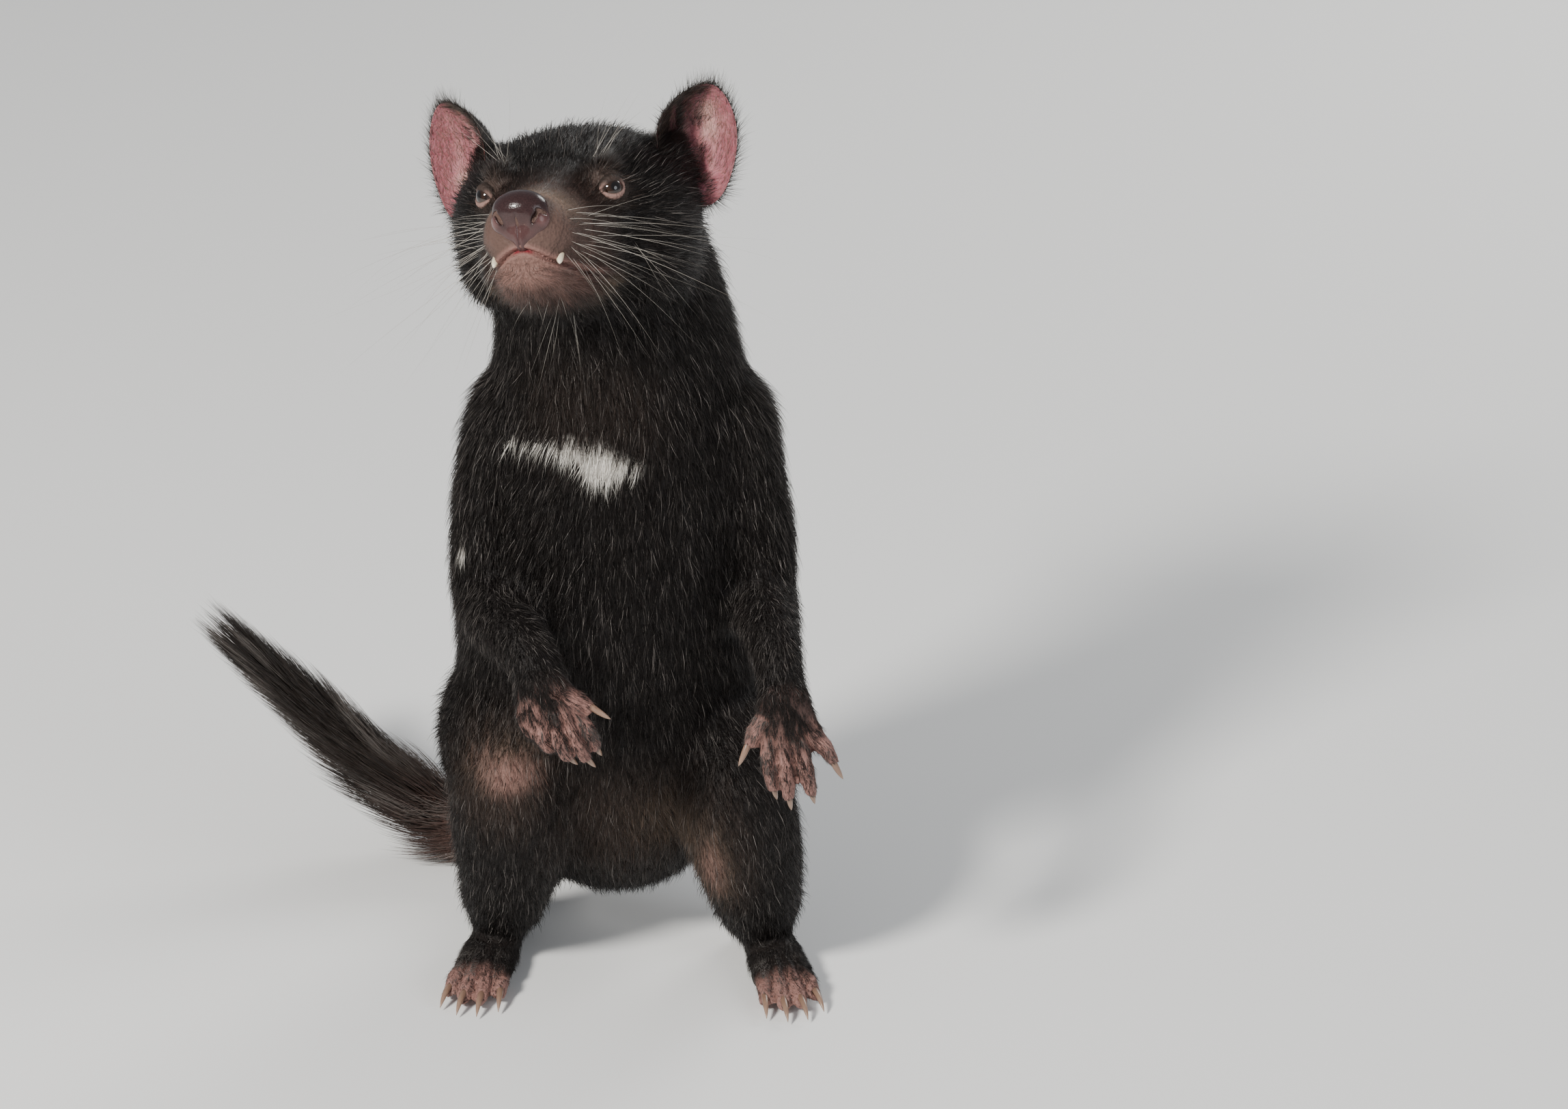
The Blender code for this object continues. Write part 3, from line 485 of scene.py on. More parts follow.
def face_points(points, normal):
    """The folds of the face: eye sockets that fit the eyeballs, lips, and the pad of the cheek."""
    face = to_head(points)
    push = np.zeros(len(points))
    in_mouth = smooth_step(MOUTH_TURN * 1.05, MOUTH_TURN * 0.85, np.abs(mouth_turn(face)))
    in_mouth *= smooth_step(-0.022, -0.034, face[:, 1]) * (face[:, 2] < 0.0)
    height = lip_height(face)
    push -= 0.0024 * in_mouth * bump_at(height, 0.0009)
    push += 0.0009 * in_mouth * bump_at(height - 0.0024, 0.0015)
    push += 0.0007 * in_mouth * bump_at(height + 0.0023, 0.0014)
    for sign in (1, -1):
        push += 0.0012 * bump_at(distance(face, BROW_AT * (sign, 1, 1)), 0.0065)
        push += 0.0016 * bump_at(distance(face, MOUTH_PAD_AT * (sign, 1, 1)), 0.0060)
    points = points + normal * push[:, None]
    for sign in (1, -1):
        centre = from_head(EYE_AT * (sign, 1, 1))
        off = points - centre
        away = np.linalg.norm(off, axis=1)
        near = away < SOCKET_REACH
        out = smooth_step(SOCKET_RADIUS, SOCKET_REACH, away)
        shrink = np.minimum(away, SOCKET_RADIUS + (away - SOCKET_RADIUS) * out)
        points[near] = (centre + off * (shrink / np.maximum(away, 1e-9))[:, None])[near]
    return points


# Fingers and toes: knuckle, joint and end of each, of both hands. A foot's are set out from its
# heel, along -y, then turned.
FINGERS = {
    "hand_right": [
        ((-0.0250, -0.0580, 0.2070), (-0.0170, -0.0600, 0.2020), (-0.0100, -0.0620, 0.1980)),
        ((-0.0180, -0.0610, 0.1950), (-0.0120, -0.0660, 0.1850), (-0.0090, -0.0640, 0.1770)),
        ((-0.0240, -0.0630, 0.1930), (-0.0180, -0.0690, 0.1810), (-0.0140, -0.0670, 0.1720)),
        ((-0.0300, -0.0640, 0.1930), (-0.0270, -0.0700, 0.1820), (-0.0230, -0.0680, 0.1730)),
        ((-0.0370, -0.0620, 0.1950), (-0.0360, -0.0680, 0.1850), (-0.0320, -0.0670, 0.1770)),
    ],
    "hand_left": [
        ((0.0740, -0.0400, 0.1800), (0.0700, -0.0430, 0.1740), (0.0668, -0.0450, 0.1680)),
        ((0.0770, -0.0440, 0.1690), (0.0785, -0.0490, 0.1570), (0.0797, -0.0480, 0.1460)),
        ((0.0845, -0.0450, 0.1680), (0.0862, -0.0500, 0.1540), (0.0879, -0.0490, 0.1410)),
        ((0.0930, -0.0450, 0.1690), (0.0965, -0.0490, 0.1560), (0.0994, -0.0480, 0.1430)),
        ((0.1000, -0.0430, 0.1750), (0.1060, -0.0450, 0.1670), (0.1105, -0.0450, 0.1590)),
    ],
}
HEELS = {"foot_right": (-0.061, 0.072, -10.0), "foot_left": (0.072, 0.066, 12.0)}
TOES = [(-0.0125, -0.083), (-0.0045, -0.089), (0.0040, -0.089), (0.0120, -0.082)]
PAWS = ("hand_left", "hand_right", "foot_left", "foot_right")
GROOVE, GROOVE_WIDE = 0.0017, 0.0016
KNUCKLE = 0.0004


def digits_of(limb):
    """Each finger or toe as knuckle, joint and end, with a start further up the limb."""
    if limb in FINGERS:
        rows = np.array(FINGERS[limb])
    else:
        x, y, turn = HEELS[limb]
        rows = [
            ((across * 0.8, -0.060, 0.0075), (across, -0.073, 0.0085), (across * 1.1, end, 0.0050))
            for across, end in TOES
        ]
        turned = np.array(Matrix.Rotation(math.radians(turn), 3, "Z"))
        rows = np.array(rows) @ turned.T + (x, y, 0.0)
    start = rows[:, 0] - (rows[:, 1] - rows[:, 0]) * 0.9
    return np.concatenate((start[:, None], rows), axis=1) + HOME


def near_digits(points, limb):
    """How far points are from each digit of a limb, then of the nearest digit its number, the
    place along it, and its way there.

    The place is 0 at the start, 1 at the knuckle, 2 at the joint and 3 at the end."""
    offs, places, ways = [], [], []
    for row in digits_of(limb):
        best, place = np.full(len(points), 1.0), np.zeros(len(points))
        way = np.zeros((len(points), 3))
        for k in range(3):
            t, off = on_segment(points, row[k], row[k + 1])
            near = off < best
            best, place = np.where(near, off, best), np.where(near, k + t, place)
            way[near] = unit(row[k + 1] - row[k])
        offs.append(best)
        places.append(place)
        ways.append(way)
    offs, each = np.stack(offs), np.arange(len(points))
    nearest = offs.argmin(0)
    return offs, nearest, np.stack(places)[nearest, each], np.stack(ways)[nearest, each]


def digit_push(points, shares):
    """Grooves between neighbouring digits, as far up as their knuckles, and swollen joints."""
    push = np.zeros(len(points))
    for limb in PAWS:
        offs, _, place, _ = near_digits(points, limb)
        first, second = np.sort(offs, axis=0)[:2]
        there = smooth_step(0.4, 0.8, shares[limb])
        between = bump_at(second - first, GROOVE_WIDE) * smooth_step(0.25, 0.8, place)
        push -= GROOVE * between * there
        joints = bump_at(place - 1.05, 0.22) + bump_at(place - 2.0, 0.25)
        push += KNUCKLE * joints * there * (1 - between)
    return push


# Where the flank comes out to meet the left foreleg.
FLANK_AT, FLANK_OUT = np.array((0.0640, 0.0400, 0.1790)), 0.0080

points = positions(skin.data)
across, forward, high = to_head(points).T
_, _, shares = along_lines(points)
front = (forward < -0.020) & (np.abs(across) < 0.042) & (high < 0.024) & (high > -0.046)
hands = shares["hand_left"] + shares["hand_right"] > 0.6
finer(skin.data, front | hands)

# Then it goes in by the coat's depth, takes its creases and folds, and stands on the floor.
points = positions(skin.data)
_, hair, shares = along_lines(points)
depth = np.maximum(hair * COAT_DEPTH, LEAST_DEPTH)
depth[shares["tail"] > 0.5] = LEAST_DEPTH
points = points + normals(skin.data) * (digit_push(points, shares) - depth)[:, None]
near_flank = bump_at(distance(points - HOME, FLANK_AT), 0.020)
points[:, 0] += FLANK_OUT * near_flank * (1 - shares["arm_left"] - shares["hand_left"])
points = face_points(points, normals(skin.data))
points[:, 2] = np.maximum(points[:, 2], 0.0)
set_positions(skin.data, points)

# White bar of the chest: x, height of its middle, half its width. Spots: centre and radii.
# Patches: centre, radii, and the most that they give. Ripples make the patches' edges ragged:
# their strength, two ways that they run, and a shift of the first.
CHEST_BAR = [
    (-0.0560, 0.3100, 0.0000),
    (-0.0530, 0.3104, 0.0008),
    (-0.0335, 0.3145, 0.0022),
    (-0.0170, 0.3132, 0.0046),
    (-0.0102, 0.3075, 0.0088),
    (-0.0025, 0.3082, 0.0072),
    (0.0060, 0.3085, 0.0026),
    (0.0111, 0.3070, 0.0012),
    (0.0179, 0.3045, 0.0000),
]
WHITE_SPOTS = [((-0.0790, 0.0130, 0.2500), (0.0030, 0.0040, 0.0050))]
BARE_PATCHES = [
    ((-0.0550, -0.0130, 0.1350), (0.0150, 0.0300, 0.0100), 0.52),
    ((-0.0660, -0.0130, 0.1420), (0.0085, 0.0300, 0.0060), 0.26),
    ((0.0485, -0.0050, 0.0780), (0.0075, 0.0200, 0.0200), 0.36),
]
TAN_PATCHES = [
    ((-0.0565, -0.0120, 0.1380), (0.0180, 0.0300, 0.0130), 0.17),
    ((0.0300, 0.0080, 0.0980), (0.0260, 0.0400, 0.0200), 0.12),
    ((0.0490, -0.0020, 0.0780), (0.0110, 0.0300, 0.0280), 0.22),
]
BROWN_PATCHES = [
    ((0.0120, 0.0080, 0.0950), (0.0480, 0.0500, 0.0420), 0.85),
    ((-0.0585, -0.0100, 0.1330), (0.0300, 0.0400, 0.0330), 0.85),
    ((0.0485, -0.0050, 0.0820), (0.0220, 0.0300, 0.0420), 0.90),
    ((-0.0150, -0.0060, 0.3350), (0.0420, 0.0300, 0.0300), 0.40),
]
PATCH_RIPPLES = [
    (0.16, (520.0, 300.0, 390.0), 0.0, (-270.0, 180.0, 610.0)),
    (0.14, (910.0, 400.0, 260.0), 1.0, (330.0, 200.0, -980.0)),
]


def patches_at(place, patches):
    """The most that any patch of a list gives at each point: full at its middle, 0 outside.

    To a point's distance from the middle, as a share of the radii, each ripple adds its
    strength times the sines along its two ways."""
    found = np.zeros(len(place))
    for centre, radii, most in patches:
        off = np.linalg.norm((place - centre) / np.array(radii), axis=1)
        for strength, one, shift, other in PATCH_RIPPLES:
            off = off + strength * np.sin(place @ one + shift) * np.sin(place @ other)
        found = np.maximum(found, most * smooth_step(1.45, 0.30, off))
    return found


def marks_at(points, shares):
    """How white, bare, brown, tan and red the animal is at points of its skin, from 0 to 1.

    The chest has its white bar. Patches are on the belly, the knees and under the chin. Hands
    and feet are dark on their backs and fleshy down the digits. The tail's bend is brown, and
    so are the muzzle and the rims of the eyes. The line between the lips is red in front."""
    place, face = points - HOME, to_head(points)
    x, y, z = place.T
    # The chest's bar, the spots and the patches.
    blaze = np.array(CHEST_BAR)
    line = np.interp(x, blaze[:, 0], blaze[:, 1])
    half = np.interp(x, blaze[:, 0], blaze[:, 2], left=0.0, right=0.0)
    ragged = 0.0009 * np.sin(x * 900.0) + 0.0007 * np.sin(x * 2300.0 + 1.0)
    white = smooth_step(0.0010, -0.0008, np.abs(z - line) - half + ragged)
    white = white * (half > 0) * (y < 0.035)
    for centre, radii in WHITE_SPOTS:
        off = np.linalg.norm((place - centre) / np.array(radii), axis=1)
        white = np.maximum(white, smooth_step(1.2, 0.8, off))
    bare = patches_at(place, BARE_PATCHES)
    brown = patches_at(place, BROWN_PATCHES)
    tan = patches_at(place, TAN_PATCHES)
    # The hands and feet, then the tail's bend.
    for name in PAWS:
        some = np.flatnonzero(shares[name] > 0.3)
        _, _, down, _ = near_digits(points[some], name)
        if name in FINGERS:
            fleshy = smooth_step(-0.6, 1.7, down)
        else:
            fleshy = smooth_step(1.2, 2.3, down) * smooth_step(0.026, 0.014, z[some])
        share = smooth_step(0.35, 0.9, shares[name][some])
        bare[some] = np.maximum(bare[some], 0.78 * share * fleshy)
        brown[some] = np.maximum(brown[some], 0.85 * share * (0.12 + 0.88 * fleshy))
    tail = smooth_step(-0.045, -0.078, x) * smooth_step(-0.13, -0.10, x) * shares["tail"]
    brown, bare = np.maximum(brown, 0.9 * tail), np.maximum(bare, 0.22 * tail)
    # The chin, the top of the muzzle, the skin over the nose, and the pad of the cheek.
    height = lip_height(face)
    front = shares["head"] * smooth_step(-0.040, -0.064, face[:, 1])
    under = face[:, 2] + 0.0015 * np.sin(face[:, 0] * 700) + 0.0012 * np.sin(face[:, 1] * 900)
    chin = front * smooth_step(0.0, -0.002, height) * smooth_step(-0.0530, -0.0390, under)
    top = front * smooth_step(0.0, 0.002, height)
    over_nose = bump_at(face[:, 1] + 0.0745, 0.0085) * smooth_step(-0.016, 0.000, face[:, 2])
    pad = bump_at(distance(face * (0, 1, 1), MOUTH_PAD_AT * (0, 1, 1)), 0.0060)
    bare = np.maximum(bare, 0.75 * front * bump_at(height, 0.0040))
    bare = np.maximum(bare, 0.52 * chin + 0.19 * top)
    brown = np.maximum(brown, np.maximum(0.85 * chin, 0.80 * top))
    brown = np.maximum(brown, 0.6 * shares["head"] * pad)
    pale = 0.62 * over_nose + 0.13 * chin + 0.05 * top + 0.22 * pad
    tan = np.maximum(tan, shares["head"] * pale)
    # The brows' tufts and the skin round the eyes, then the line between the lips.
    for sign in (1, -1):
        tuft = bump_at(distance(face, (BROW_AT + (-0.004, 0, 0.003)) * (sign, 1, 1)), 0.0040)
        tan = np.maximum(tan, 0.22 * shares["head"] * tuft)
        away = distance(face, EYE_AT * (sign, 1, 1))
        brown = np.maximum(brown, 0.8 * shares["head"] * smooth_step(0.0150, 0.0090, away))
    red = front * bump_at(height, 0.0009) * smooth_step(0.20, 0.10, np.abs(mouth_turn(face)))
    return {"white": white, "bare": bare, "brown": brown, "tan": tan, "red": red}


def unwrapped(piece):
    """Lays the piece's surface out flat, by its own shape, in the map that tufts are placed by."""
    layer = piece.data.uv_layers.new(name="OFBake")
    piece.data.uv_layers.active = layer
    bpy.ops.object.select_all(action="DESELECT")
    piece.select_set(True)
    bpy.context.view_layer.objects.active = piece
    bpy.ops.object.mode_set(mode="EDIT")
    bpy.ops.mesh.select_all(action="SELECT")
    bpy.ops.uv.smart_project(angle_limit=math.radians(66.0), island_margin=0.002)
    bpy.ops.object.mode_set(mode="OBJECT")


def keep_values(mesh, values):
    """Stores arrays, one value a point, as attributes of the mesh for its material to read."""
    for name, array in values.items():
        layer = mesh.attributes.new(name, "FLOAT", "POINT")
        layer.data.foreach_set("value", array.astype(np.float32))


keep_values(skin.data, marks_at(points, shares))
unwrapped(skin)


def fed(tree, made, inputs):
    """Gives each named input of a node a value, or a link where the value is a socket."""
    for name, value in inputs.items():
        if isinstance(value, bpy.types.NodeSocket):
            tree.links.new(value, made.inputs[name])
        else:
            made.inputs[name].default_value = value
    return made


def node(tree, kind, inputs, **settings):
    """A shader node with its settings and its inputs."""
    made = tree.nodes.new(kind)
    for name, value in settings.items():
        setattr(made, name, value)
    return fed(tree, made, inputs)


def mix(tree, share, one, other, blend="MIX"):
    """A colour part of the way from one to the other, or to their blend."""
    inputs = {0: share, 6: one, 7: other}
    made = node(tree, "ShaderNodeMix", inputs, data_type="RGBA", blend_type=blend)
    return made.outputs[2]


def maths(tree, operation, *inputs):
    """What an operation makes of two or three values."""
    made = node(tree, "ShaderNodeMath", dict(enumerate(inputs)), operation=operation)
    return made.outputs[0]


def noise(tree, scale, detail, distortion=0.0):
    """Clouds of values in the piece's own space."""
    place = tree.nodes.new("ShaderNodeTexCoord").outputs["Object"]
    inputs = {"Vector": place, "Scale": scale, "Detail": detail, "Distortion": distortion}
    return node(tree, "ShaderNodeTexNoise", inputs).outputs["Fac"]


def effect(name, takes, gives):
    """A shader node group with named numbers for inputs and named kinds of outputs."""
    group = bpy.data.node_groups.new(name, "ShaderNodeTree")
    for socket, value in takes.items():
        made = group.interface.new_socket(socket, in_out="INPUT", socket_type="NodeSocketFloat")
        made.default_value = value
    for socket, kind in gives.items():
        group.interface.new_socket(socket, in_out="OUTPUT", socket_type="NodeSocket" + kind)
    come, go = group.nodes.new("NodeGroupInput"), group.nodes.new("NodeGroupOutput")
    return group, come.outputs, go


# In the order that they are laid over each other.
MARKS = ("Brown", "Tan", "Bare", "Red", "White")
BLACK_COAT = (0.0062, 0.0052, 0.0050, 1.0)
FADED_COAT = (0.014, 0.0105, 0.0095, 1.0)
BROWN_COAT = (0.0480, 0.0330, 0.0260, 1.0)
TAN_COAT = (0.3400, 0.2450, 0.1680, 1.0)
WHITE_COAT = (0.86, 0.82, 0.75, 1.0)
BARE_SKIN = (0.46, 0.255, 0.215, 1.0)
FLUSHED_SKIN = (0.27, 0.138, 0.118, 1.0)
RED_SKIN = (0.24, 0.018, 0.032, 1.0)


def coat_colours():
    """Skin and coat by their markings: black, with each mark laid over it where it is."""
    takes = {**dict.fromkeys(MARKS, 0.0), "Blotches": 60.0}
    group, take, go = effect("coat_colours", takes, {"Color": "Color", "Blotch": "Float"})
    blotch = noise(group, take["Blotches"], 4.0)
    shade = mix(group, maths(group, "MULTIPLY", blotch, 0.7), BLACK_COAT, FADED_COAT)
    flushed = mix(group, blotch, BARE_SKIN, FLUSHED_SKIN)
    for mark, colour in zip(MARKS, (BROWN_COAT, TAN_COAT, flushed, RED_SKIN, WHITE_COAT)):
        shade = mix(group, take[mark], shade, colour)
    fed(group, go, {"Color": shade, "Blotch": blotch})
    return group


def grain_bump():
    """Fine creases and pores: the cells' distances plus folds a third as fine, as a normal."""
    takes = {"Scale": 900.0, "Depth": 0.0002}
    group, take, go = effect("grain_bump", takes, {"Normal": "Vector", "Cells": "Float"})
    place = group.nodes.new("ShaderNodeTexCoord").outputs["Object"]
    inputs = {"Vector": place, "Scale": take["Scale"]}
    cells = node(group, "ShaderNodeTexVoronoi", inputs, feature="F1").outputs["Distance"]
    fold = noise(group, maths(group, "MULTIPLY", take["Scale"], 0.3), 5.0)
    height = maths(group, "ADD", cells, fold)
    inputs = {"Height": height, "Distance": take["Depth"], "Strength": 1.0}
    normal = node(group, "ShaderNodeBump", inputs).outputs["Normal"]
    fed(group, go, {"Normal": normal, "Cells": cells})
    return group


COLOURS, GRAIN = coat_colours(), grain_bump()


def painted(name, **looks):
    """A material with a Principled shader, and plain values for some of its inputs."""
    made = bpy.data.materials.new(name)
    made.use_nodes = True
    shader = made.node_tree.nodes["Principled BSDF"]
    fed(made.node_tree, shader, {key.replace("_", " "): value for key, value in looks.items()})
    return made, made.node_tree, shader


def value_of(tree, name):
    """Reads one of a mesh's own values in its material."""
    return node(tree, "ShaderNodeAttribute", {}, attribute_name=name).outputs["Fac"]


def marked_colour(tree, blotches=60.0):
    """The colour and blotches of the markings that a mesh carries."""
    inputs = {mark: value_of(tree, mark.lower()) for mark in MARKS}
    inputs["Blotches"] = blotches
    return node(tree, "ShaderNodeGroup", inputs, node_tree=COLOURS).outputs


def grain(tree, scale, depth):
    """The normal and cells of fine creases of this scale and depth."""
    inputs = {"Scale": scale, "Depth": depth}
    return node(tree, "ShaderNodeGroup", inputs, node_tree=GRAIN).outputs


def skin_paint():
    """The markings' colour with painted shade in its fine creases and pores, and rougher in the
    paler blotches.
    """
    made, tree, shader = painted("skin", Specular_IOR_Level=0.2)
    colour, fine = marked_colour(tree), grain(tree, 700.0, 0.0004)
    # Painted shade: darker in the pits of the fine grain, by the cells' distance.
    depth = maths(tree, "MULTIPLY", fine["Cells"], 0.6)
    crease_shade = mix(tree, depth, (0.45, 0.4, 0.4, 1), (1, 1, 1, 1))
    inputs = {
        "Base Color": mix(tree, 0.5, colour["Color"], crease_shade, "MULTIPLY"),
        "Roughness": maths(tree, "MULTIPLY_ADD", colour["Blotch"], 0.35, 0.45),
        "Normal": fine["Normal"],
    }
    fed(tree, shader, inputs)
    return made


skin.data.materials.append(skin_paint())
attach(skin, "root")
flesh_nodes = [
    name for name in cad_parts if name.split("_")[0] in FLESH or name.startswith("tail")
]
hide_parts(*flesh_nodes)


# The coat
# Short stiff hair, near black, that lies flat from the nose to the toes and the tail. Each tuft
# is a closed blade of three sides that leaves the skin at a slant, and its tip is a point.
HAIR_RISE = 0.26
HAIR_SUNK = 0.0005
TRIANGLES_A_PIECE = 195000
CLUMP = 0.0042
PATCH = 0.003
SWAY = 0.10
BLADE = np.array(((-0.5, 0.0), (0.5, 0.0), (0.0, 0.42)))
TAPER = 1.6
BLADE_SIDES = ((0, 1), (1, 2), (2, 0))


def surface_of(mesh):
    """What tufts are rooted by: points, normals, triangles and the flat map of each triangle."""
    mesh.calc_loop_triangles()
    count = len(mesh.loop_triangles)
    corners, loops = np.empty(count * 3, np.int32), np.empty(count * 3, np.int32)
    mesh.loop_triangles.foreach_get("vertices", corners)
    mesh.loop_triangles.foreach_get("loops", loops)
    flat = np.empty(len(mesh.loops) * 2, np.float32)
    mesh.uv_layers["OFBake"].data.foreach_get("uv", flat)
    triangles = corners.reshape(-1, 3)
    points = positions(mesh)
    one, two, three = (points[triangles[:, k]] for k in range(3))
    area = np.linalg.norm(np.cross(two - one, three - one), axis=1) / 2
    return {
        "points": points,
        "normals": normals(mesh),
        "triangles": triangles,
        "map": flat.reshape(-1, 2)[loops].reshape(-1, 3, 2),
        "area": area,
    }


def rooted(surface, count, thick, draw):
    """Roots spread over a surface by area times thick, which is one value a point of it.

    Even steps along the sum of the weights, each moved at random within its step, choose the
    triangles. A random point of the triangle is the root."""
    weight = surface["area"] * thick[surface["triangles"]].mean(1)
    total = np.cumsum(weight)
    at = (np.arange(count) + draw.random(count)) / count * total[-1]
    chosen = np.minimum(np.searchsorted(total, at), len(weight) - 1)
    share = draw.random((count, 2))
    over = share.sum(1) > 1
    share[over] = 1 - share[over]
    share = np.column_stack((share, 1 - share.sum(1)))
    corner = surface["triangles"][chosen]
    return {
        "at": (surface["points"][corner] * share[:, :, None]).sum(1),
        "up": unit((surface["normals"][corner] * share[:, :, None]).sum(1)),
        "map": (surface["map"][chosen] * share[:, :, None]).sum(1),
    }


def scattered(values):
    """A number from 0 to 1 for each value: the fraction of its sine times a large number."""
    large = np.sin(values) * 43758.5453
    return large - np.floor(large)


def clump_shift(points, size, seed):
    """A random vector for each cube of space of this size, the same for all points in it."""
    cell = np.floor(points / size).astype(np.int64)
    mixed = (cell[:, 0] * 73856093) ^ (cell[:, 1] * 19349663) ^ (cell[:, 2] * 83492791) ^ seed
    return np.stack([scattered((mixed % 100003) * k) for k in (0.37, 0.61, 0.83)], axis=1) * 2 - 1


def tuft_mesh(name, roots, way, length, width, rise, sway, rings, values):
    """Tufts as one mesh. Ring k of a tuft is at t = k / rings of its length.

    The middle of a ring is the root, plus the way times length times t, plus the normal times
    rise times (1 - (1 - t) squared), plus the side times sway times t squared. The rings are
    triangles that narrow as 1 - t to the power of the taper, and the last one is the point at
    the tip. What would be under the floor lies on it."""
    count = len(length)
    up, side = roots["up"], np.cross(way, roots["up"])
    t = np.append(np.arange(rings) / rings, 1.0)
    lift = rise[:, None] * (1 - (1 - t) ** 2) - HAIR_SUNK * (1 - t)
    spine = (
        roots["at"][:, None]
        + way[:, None] * (length[:, None] * t)[:, :, None]
        + up[:, None] * lift[:, :, None]
        + side[:, None] * (sway[:, None] * t**2)[:, :, None]
    )
    wide = width[:, None] * (1 - t[:-1] ** TAPER)
    corner = (
        spine[:, :-1, None]
        + side[:, None, None] * (wide[:, :, None] * BLADE[:, 0])[..., None]
        + up[:, None, None] * (wide[:, :, None] * BLADE[:, 1])[..., None]
    )
    points = np.concatenate((corner.reshape(count, -1, 3), spine[:, -1:]), axis=1)
    points[..., 2] = np.maximum(points[..., 2], 0.0002 + 0.1 * np.clip(-points[..., 2], 0, 0.002))
    each = rings * 3 + 1
    faces = [(0, 2, 1)]
    for k in range(rings - 1):
        for a, b in BLADE_SIDES:
            low, high = k * 3, k * 3 + 3
            faces += [(low + a, low + b, high + b), (low + a, high + b, high + a)]
    last = rings * 3 - 3
    faces += [(last + a, last + b, each - 1) for a, b in BLADE_SIDES]
    faces = np.array(faces)
    triangles = (faces[None] + (np.arange(count) * each)[:, None, None]).reshape(-1, 3)
    mesh = bpy.data.meshes.new(name)
    mesh.vertices.add(count * each)
    mesh.vertices.foreach_set("co", points.astype(np.float32).ravel())
    mesh.loops.add(triangles.size)
    mesh.loops.foreach_set("vertex_index", triangles.astype(np.int32).ravel())
    mesh.polygons.add(len(triangles))
    mesh.polygons.foreach_set("loop_start", np.arange(0, triangles.size, 3, dtype=np.int32))
    mesh.update(calc_edges=True)
    along = np.append(np.repeat(t[:-1], 3), 1.0)
    across = np.append(np.tile((0.0, 1.0, 0.5), rings), 0.5)
    patch = roots["map"][:, None] + PATCH * (np.column_stack((across, along)) - 0.5)
    layer = mesh.uv_layers.new(name="OFBake")
    flat = patch.reshape(-1, 2)[triangles.ravel()]
    layer.data.foreach_set("uv", flat.astype(np.float32).ravel())
    spread = {key: np.repeat(value, each) for key, value in values.items()}
    spread["along"] = np.tile(along, count)
    keep_values(mesh, spread)
    return mesh


def hair_paint(name, shine):
    """The markings' colour, with painted glints: a few strands and the tips are painted paler.
    The same strands are smoother, and so they also glint under the lamps.

    The painted glints' pale share is the strand's number to the power 9 times 0.60, and the
    tip is paler as the place along it to the power 4. Roughness falls with the strand's number."""
    made, tree, shader = painted(name, Specular_IOR_Level=shine)
    colour = marked_colour(tree, 90.0)["Color"]
    strand, along = value_of(tree, "strand"), value_of(tree, "along")
    # Painted glints: the palest strands get a pale colour, and the tips a little paler.
    pale = maths(tree, "MULTIPLY", maths(tree, "POWER", strand, 9.0), 0.60)
    colour = mix(tree, pale, colour, (0.28, 0.250, 0.232, 1.0))
    tip_glint = maths(tree, "MULTIPLY", maths(tree, "POWER", along, 4.0), 0.05)
    colour = mix(tree, tip_glint, colour, (0.20, 0.15, 0.12, 1.0))
    rough = maths(tree, "MULTIPLY_ADD", strand, -0.30, 0.48)
    fed(tree, shader, {"Base Color": colour, "Roughness": rough})
    return made


HAIR, WET_HAIR = hair_paint("hair", 0.14), hair_paint("wet_hair", 0.26)


def coat_piece(name, roots, way, length, width, rise, sway, rings, values, paint=HAIR):
    """Tufts in as many objects as keep each under its most triangles."""
    pieces = math.ceil(len(length) * (6 * rings - 2) / TRIANGLES_A_PIECE)
    for k in range(pieces):
        part = slice(k, None, pieces)
        some = {key: value[part] for key, value in roots.items()}
        looks = {key: value[part] for key, value in values.items()}
        shape = (value[part] for value in (way, length, width, rise, sway))
        mesh = tuft_mesh(name, some, *shape, rings, looks)
        piece = linked(f"{name}_{k + 1}" if pieces > 1 else name, mesh)
        mesh.materials.append(paint)
        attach(piece, "root")


def lying(way, up, draw, at, wander, wave):
    """The way laid flat on the skin, then turned a little for each clump and each tuft."""
    flat = unit(way - up * (way * up).sum(1)[:, None])
    turn = clump_shift(at, CLUMP, 7)[:, :1] * wave + draw.normal(0, wander, (len(at), 1))
    return unit(flat + np.cross(up, flat) * turn)


SKIN_SURFACE = surface_of(skin.data)


